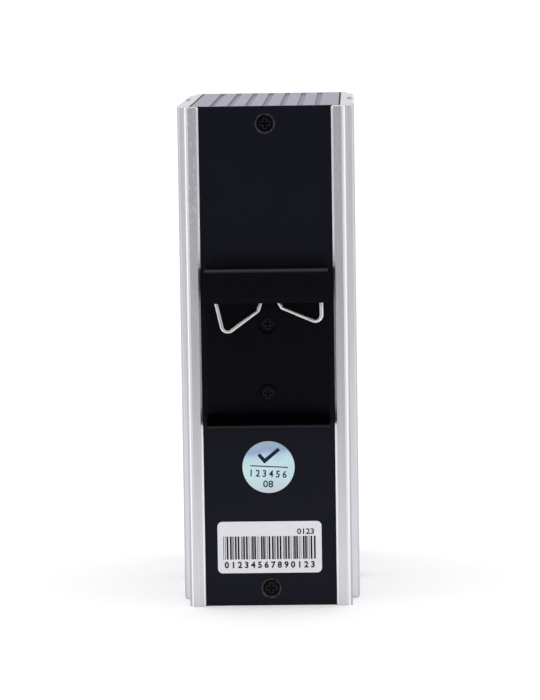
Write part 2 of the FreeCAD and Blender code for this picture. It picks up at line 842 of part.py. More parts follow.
def jack_shield(index):
    label = f"rj45_shield_{index + 1}"
    body = new_body(label)
    tube = rectangle(new_sketch(body, "XZ_Plane"), ORIGIN, ORIGIN, s.jack_tall, s.jack_width)
    pad(body, tube, s.jack_deep)
    hollow = new_sketch(body, "XZ_Plane", s.jack_deep / 2)
    rectangle(
        hollow, ORIGIN, ORIGIN, s.jack_tall - 2 * s.jack_shield, s.jack_width - 2 * s.jack_shield
    )
    pocket(body, hollow, s.jack_deep - s.jack_shield)
    front = FRONT_SEAT - s.jack_proud
    place(body, x=BOARD_FACE + s.jack_tall / 2, y=front + s.jack_deep / 2, z=jack_level(index))
    keep(body, label)


def jack_insert(index):
    label = f"rj45_insert_{index + 1}"
    body = new_body(label)
    tall = s.jack_tall - 2 * s.jack_shield
    width = s.jack_width - 2 * s.jack_shield
    deep = s.jack_deep - s.jack_shield
    pad(body, rectangle(new_sketch(body, "XZ_Plane"), ORIGIN, ORIGIN, tall, width), deep)
    foot = -s.jack_tall / 2 + s.plug_foot
    head = foot + s.plug_tall
    latch = head + s.latch_tall
    key = latch + s.latch_key_tall
    half = [
        (foot, s.plug_width / 2), (head, s.plug_width / 2), (head, s.latch_width / 2),
        (latch, s.latch_width / 2), (latch, s.latch_key_width / 2), (key, s.latch_key_width / 2),
    ]
    opening = new_sketch(body, "XZ_Plane", deep / 2)
    outline(opening, half + [(a, -b) for a, b in reversed(half)])
    pocket(body, opening, s.plug_depth)
    front = FRONT_SEAT - s.jack_proud
    place(body, x=BOARD_FACE + s.jack_tall / 2, y=front + deep / 2, z=jack_level(index))
    keep(body, label)


def jack_contacts():
    """Slanting spring wires that rise from the floor of each plug opening."""
    front = FRONT_SEAT - s.jack_proud
    end = front + s.plug_depth
    rows = []
    for index in range(int(number(s.jack_count))):
        body = new_body(f"ContactRow{index + 1}")
        floor = BOARD_FACE + s.plug_foot
        wire = new_sketch(body, "XY_Plane")
        outline(wire, [
            (floor, end - s.contact_run), (floor + s.contact_thickness, end - s.contact_run),
            (floor + s.contact_rise, end), (floor + s.contact_rise - s.contact_thickness, end),
        ])
        first = pad(body, wire, s.contact_width)
        pattern(body, first, "Z_Axis", s.contact_pitch, s.contact_count)
        place(body, z=jack_level(index) - s.contact_pitch * (s.contact_count - 1) / 2)
        rows.append(body)
    group("rj45_contacts", rows)


# Optical module cages: folded sheet tubes, open at the front, with a slot in the
# wall on the board for the edge socket that stands inside.
def cage_level(index):
    return CAGE_FIRST + index * s.cage_pitch


def module_cage(index):
    label = f"sfp_cage_{index + 1}"
    body = new_body(label)
    tube = rectangle(new_sketch(body, "XZ_Plane"), ORIGIN, ORIGIN, s.cage_tall, s.cage_width)
    pad(body, tube, s.cage_deep)
    hollow = new_sketch(body, "XZ_Plane", s.cage_deep / 2)
    rectangle(hollow, ORIGIN, ORIGIN, s.cage_tall - 2 * s.cage_wall, s.cage_width - 2 * s.cage_wall)
    pocket(body, hollow, s.cage_deep - s.cage_wall)
    slot = new_sketch(body, "XZ_Plane", -s.cage_deep / 2 + s.cage_wall + s.cage_slot)
    rectangle(
        slot, -s.cage_tall / 2, ORIGIN, 2 * s.cage_wall, s.cage_width - 2 * s.cage_wall
    )
    pocket(body, slot, s.cage_slot)
    front = FRONT_SEAT - s.jack_proud
    place(body, x=BOARD_FACE + s.cage_tall / 2, y=front + s.cage_deep / 2, z=cage_level(index))
    keep(body, label)


def edge_sockets():
    back = CAGE_END - s.cage_wall
    pieces = []
    for index in range(int(number(s.cage_count))):
        middle = back - s.cage_slot / 2
        body = new_body(f"EdgeSocket{index + 1}")
        tall = s.edge_socket_tall
        section = rectangle(new_sketch(body, "XZ_Plane"), tall / 2, ORIGIN, tall, s.edge_socket_width)
        pad(body, section, s.edge_socket_deep)
        slot = new_sketch(body, "XZ_Plane", s.edge_socket_deep / 2)
        rectangle(slot, tall / 2, ORIGIN, s.edge_slot_tall, s.edge_slot_width)
        pocket(body, slot, s.edge_socket_deep - s.header_back)
        place(body, x=BOARD_FACE, y=middle, z=cage_level(index))
        pieces.append(body)
    group("sfp_edge_sockets", pieces)


# Power terminal: a header on the board, four pins, and the screw terminal plug
# that comes pushed into it.
def pole_level(index):
    return POWER_MIDDLE + s.pole_pitch * index - s.pole_pitch * (s.pole_count - 1) / 2


def power_header():
    body = new_body("power_header")
    shell = rectangle(new_sketch(body, "XZ_Plane"), ORIGIN, ORIGIN, s.header_tall, HEADER_LENGTH)
    pad(body, shell, s.header_deep)
    hollow = new_sketch(body, "XZ_Plane", s.header_deep / 2)
    rectangle(
        hollow, ORIGIN, ORIGIN, s.header_tall - 2 * s.header_wall, HEADER_LENGTH - 2 * s.header_wall
    )
    pocket(body, hollow, s.header_deep - s.header_back)
    place(body, x=BOARD_FACE + s.header_tall / 2, y=FRONT_SEAT + s.header_deep / 2, z=POWER_MIDDLE)
    keep(body, "power_header")


def power_pins():
    """Square pins that stand on the header's back wall and reach into the plug."""
    back = FRONT_SEAT + s.header_deep - s.header_back
    tip = FRONT_SEAT + s.header_wall
    pins = []
    for index in range(int(number(s.pole_count))):
        pin = block(
            f"Pin{index + 1}",
            BOARD_FACE + s.header_tall / 2 - s.pin_side / 2,
            (back + tip) / 2,
            pole_level(index),
            s.pin_side,
            back - tip,
            s.pin_side,
        )
        pins.append(pin)
    group("power_pins", pins)


def power_plug():
    """Drawn in plan: a wide body outside and a narrow tongue inside the header."""
    body = new_body("power_plug")
    low = BOARD_FACE + s.header_wall + s.plug_side_wall
    high = BOARD_FACE + s.header_tall - s.header_wall - s.plug_side_wall
    outer_low = BOARD_FACE + s.header_tall / 2 - s.terminal_tall / 2
    outer_high = BOARD_FACE + s.header_tall / 2 + s.terminal_tall / 2
    tongue = FRONT_SEAT + s.terminal_insert
    face = FRONT_SEAT - s.terminal_proud
    shelf = FRONT_SEAT
    plan = new_sketch(body, "XY_Plane")
    outline(plan, [
        (outer_low, face), (outer_high, face), (outer_high, shelf), (high, shelf),
        (high, tongue), (low, tongue), (low, shelf), (outer_low, shelf),
    ])
    length = s.pole_pitch * s.pole_count - 2 * s.plug_side_wall
    pad(body, plan, length)
    middle = BOARD_FACE + s.header_tall / 2
    entry = new_sketch(body, "XZ_Plane", -face)
    rectangle(entry, middle, pole_level(0) - POWER_MIDDLE, s.wire_entry, s.wire_entry)
    pattern(body, pocket(body, entry, s.wire_entry_depth), "Z_Axis", s.pole_pitch, s.pole_count)
    bore = new_sketch(body, "XZ_Plane", -tongue)
    side = s.pin_side + 2 * s.plug_side_wall
    rectangle(bore, middle, pole_level(0) - POWER_MIDDLE, side, side)
    pattern(
        body, pocket(body, bore, s.terminal_insert, backwards=True), "Z_Axis", s.pole_pitch, s.pole_count
    )
    well = new_sketch(body, "YZ_Plane", outer_high)
    circle(
        well,
        (face + shelf) / 2,
        pole_level(0) - POWER_MIDDLE,
        s.clamp_screw_diameter + 2 * s.thread_clearance,
    )
    pattern(body, pocket(body, well, s.clamp_screw_length), "Z_Axis", s.pole_pitch, s.pole_count)
    place(body, z=POWER_MIDDLE)
    keep(body, "power_plug")


def clamp_screws():
    face = FRONT_SEAT - s.terminal_proud
    shelf = FRONT_SEAT
    outer_high = BOARD_FACE + s.header_tall / 2 + s.terminal_tall / 2
    body = new_body("power_plug_screws")
    head = new_sketch(body, "YZ_Plane", outer_high - s.clamp_screw_length)
    circle(head, (face + shelf) / 2, pole_level(0), s.clamp_screw_diameter)
    length = s.clamp_screw_length - s.header_wall
    one = pad(body, head, length, side="One side")
    slot = new_sketch(body, "YZ_Plane", outer_high - s.header_wall)
    rectangle(
        slot, (face + shelf) / 2, pole_level(0), s.clamp_screw_diameter * 2, s.screw_recess_width
    )
    cut = pocket(body, slot, s.screw_recess_depth)
    rows = body.newObject("PartDesign::MultiTransform", "Rows")
    rows.Originals = [one, cut]
    row = body.newObject("PartDesign::LinearPattern", "Row")
    row.Direction = (origin_feature(body, "Z_Axis"), [""])
    bind(row, Length=s.pole_pitch * (s.pole_count - 1), Occurrences=s.pole_count)
    rows.Transformations = [row]
    body.Tip = rows
    keep(body, "power_plug_screws")


# Status lamps: small chips on the back of the board, and one clear moulding whose
# rods carry their light through the front plate.
def lamp_levels():
    jacks = [jack_level(index) for index in range(int(number(s.jack_count)))]
    cages = [cage_level(index) for index in range(int(number(s.cage_count)))]
    power = [POWER_MIDDLE - s.pole_pitch, POWER_MIDDLE + s.pole_pitch]
    return jacks + cages + power


def light_pipe():
    """A bar beside the lamps, with a slope that turns their light into the rods."""
    tip = FRONT_SEAT - s.lamp_proud
    levels = lamp_levels()
    low, high = levels[0] - s.lamp_diameter, levels[-1] + s.lamp_diameter
    near = BOARD_BACK - s.lamp_chip
    outer = -s.lamp_column - s.lamp_bar
    body = new_body("light_pipe")
    plan = new_sketch(body, "XY_Plane", low)
    outline(plan, [
        (outer, BOARD_FRONT), (near, BOARD_FRONT),
        (near, BOARD_FRONT + s.lamp_bar), (outer + s.lamp_bar, BOARD_FRONT + s.lamp_bar),
    ])
    pad(body, plan, high - low, side="One side")
    rods = new_sketch(body, "XZ_Plane", -BOARD_FRONT)
    for level in levels:
        circle(rods, -s.lamp_column, level, s.lamp_diameter)
    pad(body, rods, BOARD_FRONT - tip, side="One side")
    keep(body, "light_pipe")


def status_lamps():
    chips = []
    for index, level in enumerate(lamp_levels()):
        chips.append(block(
            f"Lamp{index + 1}",
            BOARD_BACK - s.lamp_chip,
            BOARD_FRONT + s.lamp_bar / 2,
            level,
            s.lamp_chip,
            s.lamp_bar,
            s.lamp_bar,
        ))
    group("status_lamps", chips)


def cooling():
    """The switch chip on the back of the board, its pad and the block to the panel."""
    level = HALF_HEIGHT - s.rail_height / 2
    chip_face = BOARD_BACK - s.chip_height
    chip = block("switch_chip", chip_face, MIDDLE, level, s.chip_height, s.chip_side, s.chip_side)
    keep(chip, "switch_chip")
    pad_face = chip_face - s.pad_thickness
    pad_sheet = block("thermal_pad", pad_face, MIDDLE, level, s.pad_thickness, s.pad_side, s.pad_side)
    keep(pad_sheet, "thermal_pad")
    depth = pad_face + PANEL_FACE
    heat_block = block("heat_block", -PANEL_FACE, MIDDLE, level, depth, s.block_side, s.block_side)
    keep(heat_block, "heat_block")


def board_parts():
    """Magnetics behind each socket, the power stage above, small parts between."""
    magnetics_y = FRONT_SEAT + s.jack_deep + s.magnetics_length
    magnetics = [
        block(
            f"Magnetics{index + 1}", BOARD_FACE, magnetics_y, jack_level(index),
            s.magnetics_height, s.magnetics_length, s.magnetics_width,
        )
        for index in range(int(number(s.jack_count)))
    ]
    group("port_transformers", magnetics)

    sideways = FreeCAD.Rotation(FreeCAD.Vector(0, 1, 0), 90)

    def round_part(name, diameter, height, y, z):
        can = doc.addObject("Part::Cylinder", name)
        can.Placement = FreeCAD.Placement(FreeCAD.Vector(), sideways)
        bind(can, Radius=diameter / 2, Height=height)
        place(can, x=BOARD_FACE, y=y, z=z)
        return can

    coils = [
        round_part(f"Coil{index + 1}", s.coil_diameter, s.coil_height, REAR_COLUMN,
                   POWER_MIDDLE - index * s.coil_pitch)
        for index in range(2)
    ]
    group("power_inductors", coils)
    cans = [
        round_part(f"Can{index + 1}", s.can_diameter, s.can_height, CAN_COLUMN,
                   POWER_MIDDLE - index * s.can_pitch)
        for index in range(2)
    ]
    group("bulk_capacitors", cans)
    chips = [
        block(
            f"Regulator{index + 1}", BOARD_FACE, REAR_COLUMN, CAGE_FIRST - index * s.regulator_pitch,
            s.regulator_height, s.regulator_side, s.regulator_side,
        )
        for index in range(2)
    ]
    group("regulator_chips", chips)
    flash = block(
        "flash_chip", BOARD_FACE, REAR_COLUMN, JACK_FIRST + 2 * JACK_PITCH,
        s.flash_height, s.flash_width, s.flash_length,
    )
    keep(flash, "flash_chip")
    crystal = block(
        "crystal_oscillator", BOARD_FACE, REAR_COLUMN, JACK_FIRST + JACK_PITCH,
        s.crystal_height, s.crystal_width, s.crystal_length,
    )
    keep(crystal, "crystal_oscillator")
    fuse = block(
        "input_fuse", BOARD_FACE, BOARD_FRONT + s.header_deep + s.fuse_width, POWER_MIDDLE,
        s.fuse_height, s.fuse_width, s.fuse_length,
    )
    keep(fuse, "input_fuse")


def build():
    housing()
    rear_plate()
    front_plate()
    end_screws()
    side_screws()
    din_bracket()
    din_spring()
    stickers()
    circuit_board()
    for index in range(int(number(s.jack_count))):
        jack_shield(index)
        jack_insert(index)
    jack_contacts()
    for index in range(int(number(s.cage_count))):
        module_cage(index)
    edge_sockets()
    power_header()
    power_pins()
    power_plug()
    clamp_screws()
    light_pipe()
    status_lamps()
    cooling()
    board_parts()
    doc.recompute()


def check():
    for thing in doc.Objects:
        for state in ("Invalid", "Error"):
            if state in thing.State:
                raise RuntimeError(f"{thing.Name} ({thing.Label}) is {state}")
    for part in parts:
        if part.Shape.isNull() or not part.Shape.isValid():
            raise RuntimeError(f"{part.Label} has no valid shape")


def write():
    os.makedirs("parts", exist_ok=True)
    for part in parts:
        part.Shape.exportStep(f"parts/{part.Label}.step")
        box = part.Shape.BoundBox
        print(
            f"{part.Label}: {len(part.Shape.Solids)} solid(s), {part.Shape.Volume:.1f} mm3,"
            f" x {box.XMin:.2f}..{box.XMax:.2f} y {box.YMin:.2f}..{box.YMax:.2f}"
            f" z {box.ZMin:.2f}..{box.ZMax:.2f}"
        )


build()
check()
write()
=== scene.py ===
# %% [markdown]
# An industrial ethernet switch, seen from the side that hangs on its rail.
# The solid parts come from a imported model. This lesson adds their finishes, the
# pieces that are too fine for it, a floor, soft light and a camera. All lengths
# are in metres, +Z is up, the sockets face -Y and the rail bracket faces +Y.

import json
import math

import bpy
import numpy as np
from mathutils import Matrix


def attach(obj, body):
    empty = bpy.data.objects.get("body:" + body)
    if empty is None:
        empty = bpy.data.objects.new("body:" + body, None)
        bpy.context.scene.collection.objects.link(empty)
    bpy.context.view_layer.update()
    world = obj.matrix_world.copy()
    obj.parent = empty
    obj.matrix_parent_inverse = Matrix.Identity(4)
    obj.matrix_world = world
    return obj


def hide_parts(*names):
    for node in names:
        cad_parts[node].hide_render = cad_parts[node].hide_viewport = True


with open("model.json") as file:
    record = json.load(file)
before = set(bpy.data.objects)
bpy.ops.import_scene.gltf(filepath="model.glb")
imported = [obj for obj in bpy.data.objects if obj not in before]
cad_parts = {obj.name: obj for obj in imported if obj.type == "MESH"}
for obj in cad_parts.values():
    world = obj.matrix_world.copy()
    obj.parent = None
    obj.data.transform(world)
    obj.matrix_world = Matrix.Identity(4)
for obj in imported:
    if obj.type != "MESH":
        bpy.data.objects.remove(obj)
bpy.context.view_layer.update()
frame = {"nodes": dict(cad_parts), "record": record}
nodes = frame["nodes"]
MM = 0.001
print("nodes:", len(nodes))

# %% [markdown]
# The camera stands 1.07 m behind the switch and a little above it, with a long
# lens. Its place and its three angles were found from the housing's straight
# edges, so that the outline falls where it does in the photograph. A Track To
# constraint would aim it too, but couldn't hold the small roll. A camera looks along
# its own -Z, so its matrix has right, up and backwards as columns.

# %% The camera
CAMERA_PLACE = np.array([-25.31, 1075.10, 184.83]) * MM
YAW, PITCH, ROLL = np.radians([-1.382, 6.161, -0.837])
LENS, SENSOR = 185.08, 36.0

reach = math.cos(PITCH)
ahead = np.array([-math.sin(YAW) * reach, -math.cos(YAW) * reach, -math.sin(PITCH)])
level_right = np.array([-math.cos(YAW), math.sin(YAW), 0.0])
level_up = np.cross(level_right, ahead)
right = math.cos(ROLL) * level_right + math.sin(ROLL) * level_up
up = math.cos(ROLL) * level_up - math.sin(ROLL) * level_right

camera = bpy.data.objects.new("camera", bpy.data.cameras.new("camera"))
camera.data.lens = LENS
camera.data.sensor_width = SENSOR
camera.data.clip_start = 0.05
camera.data.clip_end = 100.0
axes = np.eye(4)
axes[:3, 0], axes[:3, 1], axes[:3, 2], axes[:3, 3] = right, up, -ahead, CAMERA_PLACE
camera.matrix_world = Matrix(axes.tolist())
bpy.context.collection.objects.link(camera)
bpy.context.scene.camera = camera
bpy.context.scene.view_settings.view_transform = "Standard"
print("camera looks along", ahead.round(4))

# %% [markdown]
# A finish is a small network of shader nodes. Written node by node it is long, so
# a wrapper lets sums on sockets be written as Python: each operator adds its Math
# node. Everything else goes through one method, which sets the node's options
# first and then the values or links of its inputs.

# %% Shader sums as Python
class Value:
    """One output socket that can be added, multiplied and compared."""

    def __init__(self, paint, socket):
        self.paint, self.socket = paint, socket

    def sum_with(self, operation, *terms):
        return self.paint.add("Math", {"operation": operation}, dict(enumerate(terms)))

    def __add__(self, other):
        return self.sum_with("ADD", self, other)

    def __radd__(self, other):
        return self.sum_with("ADD", other, self)

    def __sub__(self, other):
        return self.sum_with("SUBTRACT", self, other)

    def __rsub__(self, other):
        return self.sum_with("SUBTRACT", other, self)

    def __mul__(self, other):
        return self.sum_with("MULTIPLY", self, other)

    def __rmul__(self, other):
        return self.sum_with("MULTIPLY", other, self)

    def __truediv__(self, other):
        return self.sum_with("DIVIDE", self, other)

    def __pow__(self, other):
        return self.sum_with("POWER", self, other)

    def above(self, level):
        return self.sum_with("GREATER_THAN", self, level)

    def below(self, level):
        return self.sum_with("LESS_THAN", self, level)

    def size(self):
        return self.sum_with("ABSOLUTE", self)

    def nearest(self, levels):
        """Distance to the closest one of some levels."""
        closest, *others = [(self - level).size() for level in levels]
        for gap in others:
            closest = self.sum_with("MINIMUM", closest, gap)
        return closest

    def ramp(self, low, high):
        """Straight ramp: 0 under low, then rising by one per unit up to high."""
        limits = {"Value": self, "From Min": low, "From Max": high, "To Max": high - low}
        return self.paint.add("MapRange", {}, limits)

    def band(self, low, high, soft=0.08):
        """1 between low and high, with soft ends."""
        return self.fade(low - soft, low + soft) * (1.0 - self.fade(high - soft, high + soft))

    def fade(self, low, high):
        """0 under low, 1 over high, and a smooth step between."""
        settings = {"interpolation_type": "SMOOTHSTEP"}
        limits = {"Value": self, "From Min": low, "From Max": high}
        return self.paint.add("MapRange", settings, limits)


class Paint:
    """One material, with the shader that all finishes here end in."""

    def __init__(self, name, **constants):
        self.material = bpy.data.materials.new(name)
        self.material.use_nodes = True
        self.tree = self.material.node_tree
        self.shader = self.tree.nodes["Principled BSDF"]
        for socket, value in constants.items():
            self.shader.inputs[socket.replace("_", " ")].default_value = value

    def add(self, kind, settings, inputs, output=0):
        """A node of that kind: options first, then values and links, then one output."""
        node = self.tree.nodes.new("ShaderNode" + kind)
        for key, value in settings.items():
            if key == "stops":
                while len(node.color_ramp.elements) < len(value):
                    node.color_ramp.elements.new(0.5)
                for element, (place, colour) in zip(node.color_ramp.elements, value):
                    element.position, element.color = place, (*colour, 1.0)
            else:
                setattr(node, key, value)
        for key, value in inputs.items():
            if isinstance(value, Value):
                self.tree.links.new(value.socket, node.inputs[key])
            else:
                node.inputs[key].default_value = value
        return Value(self, node.outputs[output])

    def feed(self, **flows):
        """Link values into the shader's own inputs."""
        for socket, value in flows.items():
            self.tree.links.new(value.socket, self.shader.inputs[socket.replace("_", " ")])

    def place(self, scale=(1, 1, 1)):
        """Object coordinates in millimetres, stretched by the scale."""
        here = self.add("TexCoord", {}, {}, "Object")
        wide = tuple(1000.0 * s for s in scale)
        return self.add("VectorMath", {"operation": "MULTIPLY"}, {0: here, 1: wide})

    def axes(self):
        """X, Y and Z in millimetres, as three values."""
        here = self.place()
        return [self.add("SeparateXYZ", {}, {0: here}, axis) for axis in "XYZ"]

    def noise(self, scale, detail=2.0, stretch=(1, 1, 1)):
        """Soft noise; the scale is in features per millimetre."""
        inputs = {"Vector": self.place(stretch), "Scale": scale, "Detail": detail}
        return self.add("TexNoise", {}, inputs, "Fac")

    def mix(self, factor, first, second):
        """A blend of two colours; each is a colour or the output of a node."""
        colours = [(*c, 1.0) if isinstance(c, tuple) else c for c in (first, second)]
        settings = {"data_type": "RGBA"}
        return self.add("Mix", settings, {0: factor, 6: colours[0], 7: colours[1]}, 2)

    def bump(self, height, distance, strength=1.0, onto=None):
        """A surface direction bent by a height; distance is one unit of it in metres."""
        inputs = {"Height": height, "Distance": distance, "Strength": strength}
        if onto is not None:
            inputs["Normal"] = onto
        return self.add("Bump", {}, inputs, "Normal")


finishes = {}


def keep(slot, material):
    """Keep a finish under the name of its material slot."""
    finishes[slot] = material
    print(f"{slot} finish: {len(material.node_tree.nodes)} nodes")

# %% [markdown]
# The side panels are extruded aluminium, blasted very finely and anodised in its
# natural colour. The extrusion die leaves faint lines along the run, so one noise
# is stretched along Z, and a second one is a fine grain. Handling has left small
# bright scuffs on the rear flanges, mostly high up. The die also rounds what the
# solid has as flats: the flange's outer edge rolls off before its bevel, its inner
# tip rolls in, and the shoulder leans outwards. These small slopes are a height that
# depends on the distance from the middle plane. A painted highlight lightens the
# rolled edges and the inner tips, and a painted dark reflection lines each bevel.
# The inner walls and their edges, beside the covers, are painted dark and matt as
# the shade in the gap. The floors of the grooves and of the nut slot are darkened
# as painted shade, but their upper ends are painted pale and matt as painted light.
# Each side screw has pressed a duller ring round its hole, and the sawn upper end of
# the panel is a little duller too. A picture of metal could be wrapped round the
# panel, but noise has no seam and never repeats.

# %% Silver anodised aluminium
INNER_EDGE = 21.56
PLATE_FACES = (-50.9, 50.0)
PANEL_TOP = 143.95
SLOT_MOUTH = (134.0, 141.0)
SCUFF_HEIGHTS, SCUFF_SIDE = (50.0, 135.0), (-60.0, 25.0)
TIP_SHINE = 19.45
TIP_ROLL = (19.2, 19.6)
EDGE_ROLL = (21.88, 22.45)
EDGE_SHINE = (21.90, 22.82)
EDGE_DARK_REFLECTION = (22.9, 23.45)
SHOULDER = (23.45, 25.5)
PANEL_MIDDLE, PANEL_REACH, PANEL_FACE = -0.45, 38.0, 25.3
SIDE_SCREW_RUNS, SIDE_SCREW_HEIGHTS = (-28.45, 27.55), (9.0, 135.0)
SIDE_RING, SINK_FLOOR = (2.35, 3.15), 24.6


def silver_panel():
    paint = Paint("silver_anodised")
    lines = paint.noise(2.2, 3.0, (1.0, 1.0, 0.012))
    grain = paint.noise(5.5, 2.0)
    cloud = paint.noise(0.045, 2.0)
    tone = 0.4 * lines + 0.45 * grain + 0.15 * cloud
    silver = paint.mix(tone.fade(0.32, 0.68), (0.62, 0.62, 0.655), (0.71, 0.71, 0.745))
    x, y, z = paint.axes()
    scuffs = paint.noise(1.7, 1.0, (1.0, 1.0, 0.45)).fade(0.55, 0.72)
    scuffs = 0.9 * scuffs * z.fade(*SCUFF_HEIGHTS) * x.fade(*SCUFF_SIDE) * y.above(PLATE_FACES[1])
    silver = paint.mix(scuffs, silver, (0.86, 0.86, 0.89))
    out = x.size()
    outside = 1.0 - y.below(PLATE_FACES[1]) * y.above(PLATE_FACES[0])
    # Painted highlights: the rolled edge band and the inner tips are lightened.
    painted_shine = outside * (out.band(*EDGE_SHINE) + out.below(TIP_SHINE))
    silver = paint.mix(painted_shine, silver, (0.90, 0.90, 0.93))
    # Painted dark reflection: a dark line along each bevel.
    silver = paint.mix(0.7 * outside * out.band(*EDGE_DARK_REFLECTION), silver, (0.36, 0.36, 0.39))
    silver = paint.mix(z.above(PANEL_TOP), silver, (0.57, 0.57, 0.605))
    # Painted shade: groove and slot floors are darkened, and their upper ends are painted pale as
    # painted light.
    recess_shade = out.below(PANEL_FACE) * (y - PANEL_MIDDLE).size().below(PANEL_REACH)
    mouth_light = recess_shade * z.fade(*SLOT_MOUTH) * z.below(PANEL_TOP)
    recess_shade = recess_shade * (1.0 - z.fade(*SLOT_MOUTH))
    run, drop = y.nearest(SIDE_SCREW_RUNS), z.nearest(SIDE_SCREW_HEIGHTS)
    pressed = out.above(SINK_FLOOR) * ((run * run + drop * drop) ** 0.5).band(*SIDE_RING)
    silver = paint.mix(0.75 * (recess_shade + pressed), silver, (0.26, 0.26, 0.28))
    silver = paint.mix(mouth_light, silver, (0.86, 0.86, 0.89))
    # Painted shade: the inner walls and edges beside the covers turn black and matt.
    inner = out.below(INNER_EDGE) * (1.0 - outside)
    paint.feed(Base_Color=paint.mix(inner, silver, (0.010, 0.010, 0.012)))
    paint.feed(Metallic=(1.0 - inner) * (1.0 - 0.9 * mouth_light))
    paint.feed(Roughness=0.24 + 0.10 * lines + 0.05 * grain + 0.55 * inner)
    rolled = 0.9 * out.ramp(*EDGE_ROLL) + 0.55 * out.ramp(*SHOULDER) - 0.45 * out.ramp(*TIP_ROLL)
    shape = paint.bump(-1.0 * rolled * z.below(PANEL_TOP), MM)
    fine = 0.7 * lines + 0.3 * grain
    paint.feed(Normal=paint.bump(fine, 0.00002, 0.6, onto=shape))
    return paint.material


keep("silver", silver_panel())


# %% [markdown]
# The covers are the same alloy, anodised black. Seen almost edge on, they carry a
# lilac grey painted sheen, and the grooves stay duller. The painted sheen goes into
# the base colour by a blend with Layer Weight, which is near one only at grazing
# angles, and it is lighter on the groove walls. A second, dusty shader could do it,
# but one shader with one blend is easier to tune. The corners next to the side
# panels are kept out of it, as painted shade beside the gap.

# %% Black anodised covers
GROOVE_LEVELS = (0.12, 143.88)
SHEEN_RUN = (-20.88, 20.66)


def black_cover():
    paint = Paint("black_anodised_cover", Specular_IOR_Level=0.36)
    lines = paint.noise(2.0, 3.0, (1.0, 0.02, 1.0))
    grain = paint.noise(6.0, 2.0)
    x, _, z = paint.axes()
    land = z.above(GROOVE_LEVELS[1]) + z.below(GROOVE_LEVELS[0])
    facing = paint.add("LayerWeight", {}, {"Blend": 0.5}, "Facing")
    black = paint.mix(grain, (0.014, 0.014, 0.017), (0.024, 0.024, 0.028))
    normal = paint.add("NewGeometry", {}, {}, "Normal")
    wall = paint.add("SeparateXYZ", {}, {0: normal}, "X").size().above(0.7)
    # Painted sheen colour: strongest on the groove walls, less on their floors, least on the lands.
    groove = paint.mix(wall, (0.13, 0.11, 0.19), (0.47, 0.43, 0.57))
    haze = paint.mix(land, groove, (0.078, 0.046, 0.168))
    # Painted sheen at grazing angles, kept off the corners beside the panels as painted shade.
    painted_sheen = facing.fade(0.72, 0.95) * x.band(*SHEEN_RUN, soft=0.04)
    paint.feed(Base_Color=paint.mix(painted_sheen, black, haze))
    paint.feed(Roughness=0.36 - 0.13 * land + 0.08 * lines + 0.04 * grain)
    paint.feed(Normal=paint.bump(0.6 * lines + 0.4 * grain, 0.00002, 0.5))
    return paint.material


keep("black_cover", black_cover())


# %% [markdown]
# The plates are sheet metal under a satin black powder coat: a very fine skin like
# orange peel. Round each sunk screw, a painted highlight on the rim of its cone
# gives a lighter, shinier ring, broken up by a noise and found here by the distance
# to the screw. The front plate's cut top edge is bare metal, and the strip of it that
# the cover's grooves leave open behind it is painted much lighter, as painted light
# on a face in shade. A distance needs no mask painted by hand, and it stays right at
# any size of picture.

# %% Satin black plates
END_SCREWS = (5.0, 139.0)
SINK_RADII = (2.45, 2.9)
FAR_PLATE, TOP_EDGE = -48.0, (143.4, 143.97)


def black_plate():
    paint = Paint("satin_black_coat", Specular_IOR_Level=0.16)
    x, y, z = paint.axes()
    drop = z.nearest(END_SCREWS)
    # Painted highlight: a lighter ring on the rim of each screw's cone.
    ring = ((x * x + drop * drop) ** 0.5).band(*SINK_RADII, soft=0.10)
    peel = paint.noise(1.6, 2.0)
    grain = paint.noise(7.0, 2.0)
    cloud = paint.noise(0.03, 2.0)
    coat = paint.mix(cloud, (0.0008, 0.0008, 0.0075), (0.0020, 0.0020, 0.0100))
    # Painted light: the cut edge's strip seen through the grooves is painted much lighter.
    painted_light_strip = z.above(TOP_EDGE[0]) * z.below(TOP_EDGE[1])
    cut_edge = y.below(FAR_PLATE) * z.above(TOP_EDGE[0])
    rim_breakup = paint.noise(0.9, 2.0).fade(0.38, 0.68)
    painted_highlight_and_edge = ring * (0.35 + 0.9 * rim_breakup) + cut_edge
    metal = paint.mix(painted_light_strip, (0.30, 0.29, 0.34), (0.74, 0.70, 0.80))
    highlight_and_edge_colour = paint.mix(cut_edge, (0.060, 0.060, 0.068), metal)
    paint.feed(Base_Color=paint.mix(painted_highlight_and_edge, coat, highlight_and_edge_colour))
    paint.feed(Roughness=0.34 + 0.10 * grain - 0.08 * ring)
    paint.feed(Normal=paint.bump(0.6 * peel + 0.4 * grain, 0.00002, 0.5))
    return paint.material


keep("black_plate", black_plate())


# %% [markdown]
# The rail bracket is black anodised bar, darker and drier than the plate. It was
# extruded along X, so its faint lines run that way. Its two rounded edges carry a
# lighter painted highlight: they are found by their height and depth, as the
# bracket is the same all along X. The ledge is darker still, a rough metal of
# almost no colour that gives back almost no light.

# %% Black anodised bracket
LEDGE_TOP = 56.3
HOOK_RISE, HOOK_FRONT = (97.1, 97.9), (58.9, 59.5)
LEDGE_FOOT, LEDGE_FRONT = (52.9, 53.6), (56.4, 57.0)


